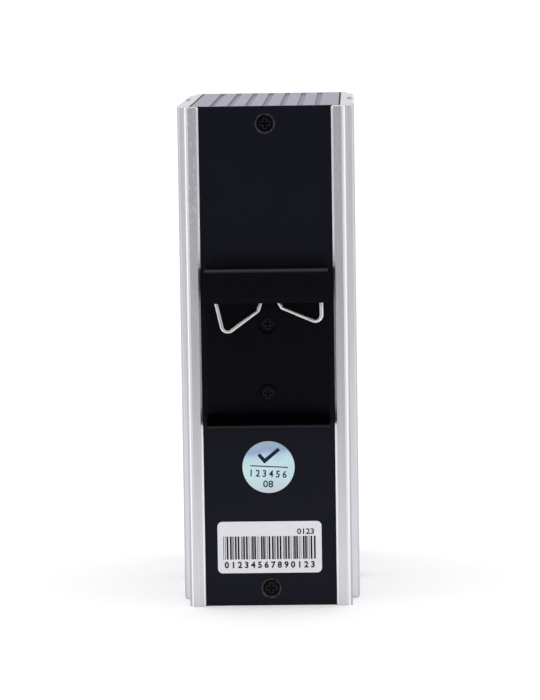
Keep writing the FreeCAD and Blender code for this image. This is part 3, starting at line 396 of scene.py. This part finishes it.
def black_bracket():
    paint = Paint("black_anodised_bracket", Specular_IOR_Level=0.05)
    _, y, z = paint.axes()
    lines = paint.noise(1.8, 3.0, (0.02, 1.0, 1.0))
    grain = paint.noise(6.0, 2.0)
    # Painted highlight: the two rounded edges are lightened.
    hook_edge = z.fade(*HOOK_RISE) * y.fade(*HOOK_FRONT)
    ledge_edge = y.fade(*LEDGE_FRONT) * (1.0 - z.fade(*LEDGE_FOOT))
    painted_highlight_and_edge = hook_edge + 0.6 * ledge_edge
    black = paint.mix(lines, (0.0016, 0.0016, 0.0042), (0.0032, 0.0032, 0.0064))
    # The ledge is darkened by its height alone.
    ledge = z.below(LEDGE_TOP)
    black = paint.mix(ledge, black, (0.0001, 0.0001, 0.0008))
    paint.feed(Base_Color=paint.mix(painted_highlight_and_edge, black, (0.042, 0.042, 0.047)))
    paint.feed(Metallic=0.75 * ledge * (1.0 - painted_highlight_and_edge))
    paint.feed(Roughness=0.36 + 0.12 * lines + 0.06 * grain + 0.4 * ledge)
    paint.feed(Normal=paint.bump(0.5 * lines + 0.5 * grain, 0.00002, 0.5))
    return paint.material


keep("bracket", black_bracket())


# %% [markdown]
# The countersunk screws have a black oxide finish that is oily and dark. The rim of
# the cross recess carries a lighter painted highlight, broken up by the grain. The
# rim is the difference of two crosses, a wide one and a narrow one, round each
# screw's middle.

# %% Black oxide screws
REAR_SCREWS = (5.0, 62.0, 82.0, 139.0)
CROSS, RIM = (0.38, 1.28), 0.22


def black_screw():
    paint = Paint("black_oxide_screw", Specular_IOR_Level=0.07)
    oil = paint.noise(0.9, 2.0)
    grain = paint.noise(5.0, 2.0)
    x, _, z = paint.axes()
    across, rise = x.size(), z.nearest(REAR_SCREWS)
    crosses = []
    for grow in (RIM, 0.0):
        thin, far = CROSS[0] + grow, CROSS[1] + grow
        upright = across.below(thin) * rise.below(far)
        level = rise.below(thin) * across.below(far)
        crosses.append(upright + level - upright * level)
    # Painted highlight: the rim of each cross recess is lightened.
    rim = crosses[0] - crosses[1]
    dark = paint.mix(oil.fade(0.5, 0.8), (0.0006, 0.0006, 0.0016), (0.0060, 0.0060, 0.0080))
    paint.feed(Base_Color=paint.mix(rim * grain.fade(0.3, 0.6), dark, (0.034, 0.034, 0.038)))
    paint.feed(Roughness=0.26 + 0.16 * grain)
    paint.feed(Normal=paint.bump(grain, 0.00002, 0.5))
    return paint.material


keep("screw", black_screw())


# %% [markdown]
# Drawn spring wire is bright steel with faint scratches along it and a little dull
# film in places. A perfect mirror would be simpler, but it looks like a toy, so the
# scratches bend the surface and the film dulls its gloss.

# %% Spring wire
def bright_wire():
    paint = Paint("bright_spring_wire", Metallic=1.0)
    scratch = paint.noise(3.0, 3.0, (0.5, 1.0, 0.5))
    film = paint.noise(0.25, 2.0)
    paint.feed(Base_Color=paint.mix(film.fade(0.35, 0.7), (0.80, 0.785, 0.77), (0.56, 0.545, 0.53)))
    paint.feed(Roughness=0.12 + 0.12 * scratch + 0.10 * film)
    paint.feed(Normal=paint.bump(scratch, 0.00001, 0.5))
    return paint.material


keep("spring", bright_wire())


# %% [markdown]
# The round sticker is security foil. It shimmers from lilac blue at the top to a
# pale blue green, so a ramp runs up its height and a soft noise bends it. On real
# foil the colours move as one walks past. Here they stay put on the sticker, so
# that it looks right in every view.

# %% Shimmering foil
STICKER_X, STICKER_Z, STICKER_SIZE = 0.33, 40.30, 15.0
FOIL_STOPS = [
    (0.0, (0.66, 0.73, 0.78)), (0.3, (0.66, 0.88, 0.94)), (0.55, (0.69, 0.93, 0.97)),
    (0.74, (0.56, 0.80, 0.97)), (0.86, (0.37, 0.50, 0.78)), (1.0, (0.48, 0.62, 0.73)),
]


def shimmer_foil():
    paint = Paint("shimmer_foil", Metallic=0.25)
    x, _, z = paint.axes()
    waves = paint.noise(0.16, 2.0)
    rise = (z - (STICKER_Z - STICKER_SIZE / 2)) / STICKER_SIZE
    run = rise + 0.35 * (waves - 0.5) + 0.010 * (x - STICKER_X)
    paint.feed(Base_Color=paint.add("ValToRGB", {"stops": FOIL_STOPS}, {0: run}))
    paint.feed(Roughness=0.30 + 0.15 * waves)
    paint.feed(Normal=paint.bump(paint.noise(0.8, 1.0), 0.00002, 0.4))
    return paint.material


keep("foil", shimmer_foil())


# %% [markdown]
# The rectangular label is white film with a faint fibre in it, a little glossier
# than paper. Three noises could be laid over each other, but one is enough for its
# tone, its gloss and its surface, because a fibre changes all three at once.

# %% White label film
def label_paper():
    paint = Paint("white_label_film")
    fibre = paint.noise(1.2, 3.0)
    paint.feed(Base_Color=paint.mix(fibre, (0.82, 0.82, 0.86), (0.88, 0.88, 0.92)))
    paint.feed(Roughness=0.42 + 0.10 * fibre)
    paint.feed(Normal=paint.bump(fibre, 0.00001, 0.4))
    return paint.material


keep("paper", label_paper())


# %% [markdown]
# The parts on the front and inside need honest finishes too, because the switch is
# seen from other sides. Most share one recipe: a base colour that varies a little,
# a roughness with the same noise, and a fine bump. A function per part would only
# repeat the same lines.

# %% One recipe for the small parts
def simple_finish(name, colour, metal, rough, scale, depth):
    """Colour and roughness vary with one noise; depth is the bump in millimetres."""
    paint = Paint(name, Metallic=metal)
    mottle = paint.noise(scale, 3.0)
    dark = tuple(0.86 * part for part in colour)
    light = tuple(min(1.0, 1.12 * part) for part in colour)
    paint.feed(Base_Color=paint.mix(mottle, dark, light))
    paint.feed(Roughness=(rough - 0.06) + 0.12 * mottle)
    paint.feed(Normal=paint.bump(mottle, depth * MM, 0.5))
    return paint.material


# %% [markdown]
# The light pipe is a clear moulding. Glass that lets all light through would leave
# its rods invisible, so only a good half goes through, and a haze varies its gloss.

# %% Clear plastic
def clear_plastic():
    paint = Paint("clear_light_pipe", IOR=1.49, Transmission_Weight=0.6)
    haze = paint.noise(0.6, 2.0)
    paint.feed(Base_Color=paint.mix(haze, (0.80, 0.84, 0.80), (0.90, 0.92, 0.90)))
    paint.feed(Roughness=0.08 + 0.10 * haze)
    return paint.material


keep("clear", clear_plastic())


# %% [markdown]
# The board wears green solder mask, and its copper tracks show through as lighter
# lines. They could be drawn one by one, but the board is hidden inside. So a saw
# tooth along Y, bent by a slow noise and cut off at one level, draws them, and a
# second noise leaves them out in patches.

# %% Solder mask
TRACKS_PER_MM, TRACK_LEVEL = 0.9, 0.62


def solder_mask():
    paint = Paint("green_solder_mask")
    y = paint.axes()[1]
    wave = (y + 2.2 * paint.noise(0.08, 1.0)) * TRACKS_PER_MM
    track = wave.sum_with("FRACT", wave).above(TRACK_LEVEL) * paint.noise(0.10, 1.0).above(0.5)
    paint.feed(Base_Color=paint.mix(track, (0.008, 0.070, 0.028), (0.016, 0.125, 0.050)))
    paint.feed(Roughness=0.28 + 0.10 * paint.noise(2.0, 2.0))
    paint.feed(Normal=paint.bump(track, 0.00003, 0.6))
    return paint.material


keep("board", solder_mask())


# %% [markdown]
# A table names what differs between the small parts: colour, metal, roughness, the
# noise's scale and the depth of the bump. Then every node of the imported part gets
# the finish that its record names.

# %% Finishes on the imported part
SMALL_PARTS = {
    "shield": ((0.70, 0.70, 0.67), 1.0, 0.28, 1.5, 0.01),
    "insert": ((0.020, 0.020, 0.021), 0.0, 0.45, 4.0, 0.02),
    "gold": ((0.86, 0.62, 0.25), 1.0, 0.22, 3.0, 0.01),
    "terminal": ((0.020, 0.190, 0.070), 0.0, 0.40, 3.0, 0.02),
    "steel": ((0.50, 0.51, 0.52), 1.0, 0.26, 2.0, 0.01),
    "lamp": ((0.55, 0.80, 0.30), 0.0, 0.30, 1.0, 0.01),
    "chip": ((0.022, 0.022, 0.024), 0.0, 0.50, 6.0, 0.02),
    "pad": ((0.45, 0.47, 0.52), 0.0, 0.75, 1.5, 0.05),
    "block": ((0.78, 0.78, 0.79), 1.0, 0.35, 1.2, 0.02),
    "ferrite": ((0.045, 0.045, 0.048), 0.0, 0.55, 3.0, 0.03),
    "can": ((0.75, 0.75, 0.77), 1.0, 0.30, 0.8, 0.01),
    "ceramic_body": ((0.70, 0.66, 0.58), 0.0, 0.30, 1.0, 0.01),
}

for slot, values in SMALL_PARTS.items():
    keep(slot, simple_finish("small_" + slot, *values))

for entry in frame["record"]["subparts"]:
    mesh = nodes[entry["node"]].data
    mesh.materials.clear()
    mesh.materials.append(finishes[entry["material_slot"]])
print("finishes on the packed part:", len(finishes))

# %% [markdown]
# New pieces are surfaces worked out as whole arrays. Three helpers turn them into
# meshes: one joins a grid of points into a closed tube with two caps, one puts
# several surfaces together, and the last makes the object that rides on the part.

# %% From arrays to meshes
def closed_tube(rings, sides):
    """Faces of a tube of rings: closed round, and a cap on the first and last ring."""
    ring, side = np.meshgrid(np.arange(rings - 1), np.arange(sides), indexing="ij")
    here, after = ring * sides + side, ring * sides + (side + 1) % sides
    corners = np.stack([here, here + sides, after + sides, after], axis=-1)
    first, last = np.arange(sides), np.arange(sides)[::-1] + (rings - 1) * sides
    return [*corners.reshape(-1, 4).tolist(), first.tolist(), last.tolist()]


def together(*parts):
    """Join several points-and-faces pairs into one."""
    points, faces, start = [], [], 0
    for some, skin in parts:
        points.append(some)
        faces.extend([int(corner) + start for corner in face] for face in skin)
        start += len(some)
    return np.vstack(points), faces


def new_piece(name, points, faces, finish, smooth=False):
    """A piece that rides on the part; points are in metres, in the part's frame."""
    mesh = bpy.data.meshes.new(name)
    mesh.from_pydata(points.tolist(), [], faces)
    mesh.materials.append(finish)
    mesh.polygons.foreach_set("use_smooth", np.full(len(mesh.polygons), smooth))
    mesh.update()
    piece = bpy.data.objects.new(name, mesh)
    bpy.context.collection.objects.link(piece)
    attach(piece, "root")
    print(name, "has", len(mesh.polygons), "faces")
    return piece


# %% [markdown]
# The spring is one wire, bent in a plane. Its route is a row of corners joined by
# arcs. Each arc is a circle that touches both runs: it starts r / tan(half the
# corner's angle) before the corner. A Blender curve with a bevel would bend too,
# but here each corner's radius is a number of its own, as on a bending machine.

# %% The wire's route
WIRE_CORNERS = [(1.6, 0.6, 0.0), (3.4, -3.6, 1.3), (14.0, -9.7, 1.8), (15.4, 3.7, 1.5)]


def arc_between(before, corner, after, radius, steps=14):
    """Points on the circle of that radius that touches both runs of a corner."""
    back = (before - corner) / np.linalg.norm(before - corner)
    onward = (after - corner) / np.linalg.norm(after - corner)
    half = 0.5 * math.acos(float(np.clip(back @ onward, -1.0, 1.0)))
    middle = (back + onward) / np.linalg.norm(back + onward)
    centre = corner + middle * radius / math.sin(half)
    start = corner + back * radius / math.tan(half) - centre
    end = corner + onward * radius / math.tan(half) - centre
    share = np.linspace(0.0, 1.0, steps)[:, None]
    swing = math.pi - 2.0 * half
    swung = np.sin((1.0 - share) * swing) * start + np.sin(share * swing) * end
    return centre + swung / math.sin(swing)


def wire_route():
    """The right half's corners and their mirror image, joined by arcs."""
    half = np.array(WIRE_CORNERS)
    corners = np.vstack([half[:, :2], half[::-1, :2] * (-1, 1)])
    radii = [*half[:, 2], *half[::-1, 2]]
    bends = [
        arc_between(corners[i - 1], corners[i], corners[i + 1], radii[i])
        for i in range(1, len(corners) - 1)
    ]
    return np.vstack([corners[:1], *bends, corners[-1:]])


route = wire_route()
route_length = np.linalg.norm(np.diff(route, axis=0), axis=1).sum()
print("the wire's route is", round(float(route_length), 1), "mm long")

# %% [markdown]
# A circle carried along the route gives the skin: each point is the route's point +
# radius * (cos(t) * normal + sin(t) * Y). The wire was cut, and its ends are a
# little rounded. So the last rings shrink along a quarter of an ellipse, and a small
# cap closes each end. The finished wire is turned by its tilt and moved to the
# middle of the hook.

# %% The wire's skin
WIRE_RADIUS = 0.6
END_SOFTNESS, END_CAP = 0.35, 0.02
WIRE_MIDDLE = (-0.5, 55.65, 90.0)
WIRE_TILT = math.radians(6.4)


def wire_tube(route, radius, sides=20, cap=5):
    """Route point + girth * (cos(t) * normal in the plane + sin(t) * Y), with soft ends.

    Each end is a quarter of an ellipse: the girth is radius - soft * (1 - cos(a))
    while the ring moves on by soft * sin(a).
    """
    lean = np.linspace(0.0, 0.5 * math.pi, cap)
    first, last = route[0] - route[1], route[-1] - route[-2]
    first, last = first / np.linalg.norm(first), last / np.linalg.norm(last)
    soft = END_SOFTNESS * radius
    head = route[0] + first * (np.sin(lean)[::-1, None] - 1.0) * soft
    tail = route[-1] + last * (np.sin(lean)[:, None] - 1.0) * soft
    line = np.vstack([head, route[1:-1], tail])
    shrink = radius - soft * (1.0 - np.cos(lean))
    shrink[-1] = END_CAP * radius
    girth = np.concatenate([shrink[::-1], np.full(len(route) - 2, radius), shrink])
    along = np.gradient(line, axis=0)
    along = along / np.linalg.norm(along, axis=1)[:, None]
    angle = np.linspace(0.0, 2.0 * math.pi, sides, endpoint=False)
    across = girth[:, None] * np.cos(angle)
    x = line[:, :1] - along[:, 1:] * across
    z = line[:, 1:] + along[:, :1] * across
    y = girth[:, None] * np.sin(angle)
    return np.stack([x, y, z], axis=-1)


grid = wire_tube(route, WIRE_RADIUS)
cosine, sine = math.cos(WIRE_TILT), math.sin(WIRE_TILT)
tilt = np.array([(cosine, 0.0, sine), (0.0, 1.0, 0.0), (-sine, 0.0, cosine)])
turned = grid.reshape(-1, 3) @ tilt.T + WIRE_MIDDLE
wire_skin = closed_tube(*grid.shape[:2])
spring_wire = new_piece(
    "spring_wire", turned * MM, wire_skin, finishes["spring"], smooth=True
)
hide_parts("din_spring")

# %% [markdown]
# A thin black strip fills the gap between each cover and each side panel, as painted
# shade: it draws the dark line of shade beside the grooved top, where an empty gap
# would let light down to the silver wall. Its section is half an ellipse that stands
# on the gap's floor, and it is drawn along the whole cover.

# %% Painted shade beside the covers
STRIP_MIDDLE, STRIP_HALF = 21.175, 0.115
STRIP_FOOT, STRIP_RISE = 143.22, 0.74
COVER_RUN = (-48.9, 48.0)
BODY_HEIGHT = 144.0


def gap_seal(side, upside_down, sides=12):
    """x = middle + half * cos(t), z = foot + rise * sin(t), for t from 0 to half a turn."""
    angle = np.linspace(0.0, math.pi, sides)
    x = side * STRIP_MIDDLE + STRIP_HALF * np.cos(angle)
    z = STRIP_FOOT + STRIP_RISE * np.sin(angle)
    if upside_down:
        x, z = x[::-1], BODY_HEIGHT - z[::-1]
    section = np.column_stack([x, z])
    points = np.vstack([np.insert(section, 1, run, axis=1) for run in COVER_RUN])
    return points, closed_tube(2, sides)


def black_rubber():
    paint = Paint("black_gap_shade", Specular_IOR_Level=0.1)
    strip_mottle = paint.noise(1.4, 3.0)
    paint.feed(Base_Color=paint.mix(strip_mottle, (0.004, 0.004, 0.005), (0.012, 0.012, 0.013)))
    paint.feed(Roughness=0.78 + 0.15 * strip_mottle)
    paint.feed(Normal=paint.bump(strip_mottle, 0.00002, 0.5))
    return paint.material


# Painted shade: the black strips stand in for the shade in the gaps.
shade_strips = [gap_seal(side, turned_over) for side in (-1, 1) for turned_over in (False, True)]
shade_strip_points, shade_strip_faces = together(*shade_strips)
new_piece("gap_shade_strips", shade_strip_points * MM, shade_strip_faces, black_rubber())

# %% [markdown]
# Ink isn't quite even: where the printer laid down less, it is a little lighter and
# duller. Each print gets its own ink, so the colour is handed in.

# %% Printed ink
def print_ink(name, colour):
    """Printed ink: slightly uneven in tone, as thermal print is."""
    paint = Paint(name, Specular_IOR_Level=0.2)
    dots = paint.noise(4.0, 2.0)
    light = tuple(min(1.0, 1.5 * part + 0.004) for part in colour)
    paint.feed(Base_Color=paint.mix(dots.fade(0.35, 0.75), colour, light))
    paint.feed(Roughness=0.45 + 0.15 * dots)
    return paint.material


# %% [markdown]
# Print is a skin of ink a few hundredths of a millimetre thick. It could be a
# pattern in the label's own material, but slabs keep a sharp edge close up. On a flat
# label they are thin and closed: many small boxes at once, or an outline with a
# front, a back and a rim. A print's own directions are turned into the part's:
# on the rear plate, print runs along -X and rises along +Z. The back of the ink
# sinks a little into the label, so that no light gets between them.

# %% Slabs of ink
REAR_FACE = 50.17
INK, SUNK = 0.02, -0.005
BOX_SIDES = np.array([
    (3, 2, 1, 0), (4, 5, 6, 7), (0, 1, 5, 4), (1, 2, 6, 5), (2, 3, 7, 6), (3, 0, 4, 7),
])


def on_rear(across, rise, lift):
    """Print directions on the rear plate, in millimetres, as points of the part."""
    return np.stack([-across, REAR_FACE + lift, rise], axis=-1)


def ink_boxes(low_a, high_a, low_b, high_b, lay):
    """Flat boxes from low to high in both directions of the print, eight corners each."""
    a = np.stack([low_a, high_a, high_a, low_a] * 2, axis=-1)
    b = np.stack([low_b, low_b, high_b, high_b] * 2, axis=-1)
    lift = np.broadcast_to(np.repeat([SUNK, INK], 4), a.shape)
    points = lay(a, b, lift).reshape(-1, 3)
    faces = (BOX_SIDES + 8 * np.arange(len(low_a))[:, None, None]).reshape(-1, 4)
    return points, faces


def two_skins(flat, lay):
    """The same flat points twice: at the back of the ink, then at its front."""
    return np.vstack([lay(*flat.T, np.full(len(flat), lift)) for lift in (SUNK, INK)])


def ink_outline(outline, lay):
    """One flat slab with that outline, which runs anticlockwise."""
    flat, count = np.array(outline), len(outline)
    here = np.arange(count)
    after = (here + 1) % count
    rim = np.stack([here, after, after + count, here + count], axis=-1)
    return two_skins(flat, lay), [here[::-1], here + count, *rim]


# %% [markdown]
# Digits come from Blender's own plain font. The text is made a mesh first, and only
# then scaled and put in its place. Its flat faces become the front and the back of
# the ink, and the edges that only one face uses become the rim.

# %% Digits as slabs
def digits(text, height, middle, lay, width=None, bold=0.0):
    """Plain digits as slabs, centred on a point of the print; width stretches them."""
    curve = bpy.data.curves.new("digits", "FONT")
    curve.body = text
    curve.size = 1.0
    curve.offset = bold
    curve.resolution_u = 3
    letters = bpy.data.objects.new("digits", curve)
    bpy.context.collection.objects.link(letters)
    bpy.context.view_layer.update()
    mesh = bpy.data.meshes.new_from_object(letters)
    flat = np.empty(len(mesh.vertices) * 3)
    mesh.vertices.foreach_get("co", flat)
    flat = flat.reshape(-1, 3)[:, :2]
    tops = [tuple(face.vertices) for face in mesh.polygons]
    edges = np.array([edge for face in tops for edge in zip(face, face[1:] + face[:1])])
    bpy.data.objects.remove(letters)
    low, high = flat.min(axis=0), flat.max(axis=0)
    scale = np.full(2, height / (high[1] - low[1]))
    if width is not None:
        scale[0] = width / (high[0] - low[0])
    flat = (flat - (low + high) / 2.0) * scale + middle
    count = len(flat)
    both = np.sort(edges, axis=1)
    _, first, times = np.unique(both, axis=0, return_index=True, return_counts=True)
    start, end = edges[first[times == 1]].T
    rim = np.stack([end + count, start + count, start, end], axis=-1)
    fronts = [np.array(face) + count for face in tops]
    backs = [face[::-1] for face in tops]
    return two_skins(flat, lay), [*fronts, *backs, *rim]


# %% [markdown]
# The white label carries bars and plain digits that count up. Each bar's width is
# a formula of its place in the row, so the pattern stands for nothing.

# %% The printed label
BAR_COUNT = 44
BAR_ENDS = (-13.7, 12.9)
BAR_HEIGHTS = (13.5, 20.2)
INK_SPREAD = 1.04

place = np.arange(BAR_COUNT)
black = 1 + (place * place * 3 + place * 5) % 4 % 3
white = 1 + (place * place * 5 + place * 3 + 1) % 5 % 3
ends = np.cumsum(black + white)
module = (BAR_ENDS[1] - BAR_ENDS[0]) / (ends[-1] - white[-1])
starts = BAR_ENDS[0] + module * (ends - black - white)
low, high = (np.full(BAR_COUNT, height) for height in BAR_HEIGHTS)
bars = ink_boxes(starts, starts + module * black * INK_SPREAD, low, high, on_rear)
row = digits("0 1 2 3 4 5 6 7 8 9 0 1 2 3", 2.0, (-0.4, 11.9), on_rear, width=26.0, bold=0.035)
corner = digits("0123", 1.7, (10.05, 21.55), on_rear, width=4.9, bold=0.02)
label_points, label_faces = together(bars, row, corner)
label_ink = print_ink("black_label_ink", (0.004, 0.004, 0.008))
new_piece("label_print", label_points * MM, label_faces, label_ink)

# %% [markdown]
# The foil sticker has a tick, a rule, a row of small digits like the months of a
# year, and a plain pair. It was stuck on by hand, so the print is turned by about
# three degrees.

# %% The sticker's print
STICKER_TURN = math.radians(-3.2)


def on_sticker(across, rise, lift):
    """Print directions on the turned sticker, measured from its middle."""
    c, s = math.cos(STICKER_TURN), math.sin(STICKER_TURN)
    return on_rear(across * c - rise * s - STICKER_X, across * s + rise * c + STICKER_Z, lift)


TICK = [(-1.25, 0.95), (3.1, 5.0), (2.45, 5.75), (-1.2, 2.45), (-2.65, 3.9), (-3.35, 3.2)]
RULE = [(-5.3, 0.0), (5.6, 0.0), (5.6, 0.32), (-5.3, 0.32)]
tick = ink_outline(TICK, on_sticker)
rule = ink_outline(RULE, on_sticker)
months = digits("1 2 3 4 5 6", 2.1, (0.1, -1.9), on_sticker, width=10.4, bold=0.02)
pair = digits("08", 2.0, (0.1, -4.9), on_sticker, width=2.9, bold=0.015)
sticker_points, sticker_faces = together(tick, rule, months, pair)
sticker_ink = print_ink("dark_sticker_ink", (0.003, 0.011, 0.020))
new_piece("sticker_print", sticker_points * MM, sticker_faces, sticker_ink)

# %% [markdown]
# On the front plate each socket has its plain number beside its lamp, so that a
# lamp that blinks can be matched to its cable. The ink lies on the plate's front,
# where print runs along +X.

# %% Numbers on the front plate
FRONT_FACE = -50.95
PORT_HEIGHTS = [18.5, 34.8, 51.1, 67.4, 85.8, 102.05]
NUMBER_COLUMN, NUMBER_HEIGHT = -10.0, 2.6


def on_front(across, rise, lift):
    """Print directions on the front plate, in millimetres, as points of the part."""
    return np.stack([across, FRONT_FACE - lift, rise], axis=-1)


numbers = [
    digits(str(port), NUMBER_HEIGHT, (NUMBER_COLUMN, height), on_front)
    for port, height in enumerate(PORT_HEIGHTS, start=1)
]
number_points, number_faces = together(*numbers)
plate_ink = print_ink("pale_plate_ink", (0.62, 0.62, 0.64))
new_piece("port_numbers", number_points * MM, number_faces, plate_ink)

# %% [markdown]
# Each light rod ends in a shallow milky lens that stands a little proud of the
# plate. A lens is a profile turned round its own axis: the front is a parabola,
# depth = rise * (1 - (r / R) squared), and the back is flat. A slice of a ball would
# do as well, but a parabola needs no centre far behind the plate.

# %% Lamp lenses
LENS_RADIUS, LENS_TIP = 1.14, 0.04
LENS_RISE, LENS_BACK = 0.42, -51.20
ROD_COLUMN = -13.0
ROD_HEIGHTS = PORT_HEIGHTS + [116.46, 126.62]


def lens_dome(height, sides=24, rings=7):
    """A parabola turned round its rod: depth = rise * (1 - (r / R) squared)."""
    share = np.linspace(LENS_TIP, 1.0, rings)
    radius = LENS_RADIUS * np.append(share, share[0])
    depth = LENS_RISE * np.append(1.0 - share ** 2, 0.0)
    angle = np.linspace(0.0, 2.0 * math.pi, sides, endpoint=False)
    x = ROD_COLUMN + radius[:, None] * np.cos(angle)
    z = height + radius[:, None] * np.sin(angle)
    y = LENS_BACK - np.repeat(depth[:, None], sides, axis=1)
    return np.stack([x, y, z], axis=-1).reshape(-1, 3), closed_tube(rings + 1, sides)


def milky_lens():
    paint = Paint("milky_lens")
    haze = paint.noise(0.9, 2.0)
    paint.feed(Base_Color=paint.mix(haze, (0.52, 0.66, 0.50), (0.66, 0.78, 0.64)))
    paint.feed(Roughness=0.16 + 0.12 * haze)
    paint.feed(Normal=paint.bump(haze, 0.00002, 0.4))
    return paint.material


lens_points, lens_faces = together(*[lens_dome(height) for height in ROD_HEIGHTS])
new_piece("lamp_lenses", lens_points * MM, lens_faces, milky_lens(), smooth=True)

# %% [markdown]
# The floor is plain and pale, and so wide that its end is out of sight. It glows a
# little as painted light, so that it reads white. On the camera's side of the switch
# its colour and glow fall off, as painted shade, to the tone of the dimmer room, so
# the metal that mirrors the floor gets lighter only near its foot.

# %% The floor
FLOOR_HALF = 30.0
TONE_FALL = (190.0, 500.0)
GLOW = 0.21
floor_mesh = bpy.data.meshes.new("floor")
floor_corners = FLOOR_HALF * np.array([(-1, -1, 0), (1, -1, 0), (1, 1, 0), (-1, 1, 0)])
floor_mesh.from_pydata(floor_corners.tolist(), [], [(0, 1, 2, 3)])
floor = bpy.data.objects.new("floor", floor_mesh)
bpy.context.collection.objects.link(floor)
floor_paint = Paint("pale_paper_floor", Roughness=0.9, Emission_Strength=GLOW)
# Painted shade: colour and glow fall off towards the camera's side.
dimmer = floor_paint.axes()[1].fade(*TONE_FALL)
fibre = floor_paint.noise(0.004, 2.0)
paper = floor_paint.mix(fibre, (0.90, 0.90, 0.905), (0.92, 0.92, 0.925))
floor_paint.feed(Base_Color=floor_paint.mix(dimmer, paper, (0.42, 0.42, 0.425)))
floor_paint.feed(Emission_Color=floor_paint.mix(dimmer, (1.0, 1.0, 1.0), (0.22, 0.22, 0.22)))
floor_mesh.materials.append(floor_paint.material)
print("the floor is", 2 * FLOOR_HALF, "m wide")

# %% [markdown]
# The room is white and soft. Its light depends only on how far a direction points
# towards the camera's side: white behind, brightest at the sides, where it draws
# light edges on every bevel, and dim in front, so that black faces stay black. Area
# lamps would light it as well, but would show as hard spots in the metal.

# %% Soft studio light
BRIGHTEST = 1.25
ROOM_STOPS = [
    (0.0, 0.80), (0.36, 0.80), (0.45, 1.0), (0.62, 1.0), (0.74, 0.70), (0.94, 0.42), (1.0, 0.39),
]
world = bpy.data.worlds.new("white_room")
world.use_nodes = True
bpy.context.scene.world = world
sky = world.node_tree
backdrop = sky.nodes["Background"]
backdrop.inputs["Strength"].default_value = BRIGHTEST
direction = sky.nodes.new("ShaderNodeTexCoord")
split = sky.nodes.new("ShaderNodeSeparateXYZ")
forward = sky.nodes.new("ShaderNodeMapRange")
forward.inputs["From Min"].default_value = -1.0
room = sky.nodes.new("ShaderNodeValToRGB")
while len(room.color_ramp.elements) < len(ROOM_STOPS):
    room.color_ramp.elements.new(0.5)
for element, (where, light) in zip(room.color_ramp.elements, ROOM_STOPS):
    element.position, element.color = where, (light, light, light, 1.0)
sky.links.new(direction.outputs["Generated"], split.inputs[0])
sky.links.new(split.outputs["Y"], forward.inputs["Value"])
sky.links.new(forward.outputs[0], room.inputs[0])
sky.links.new(room.outputs[0], backdrop.inputs["Color"])
print("light: a white room, dimmer towards the camera")
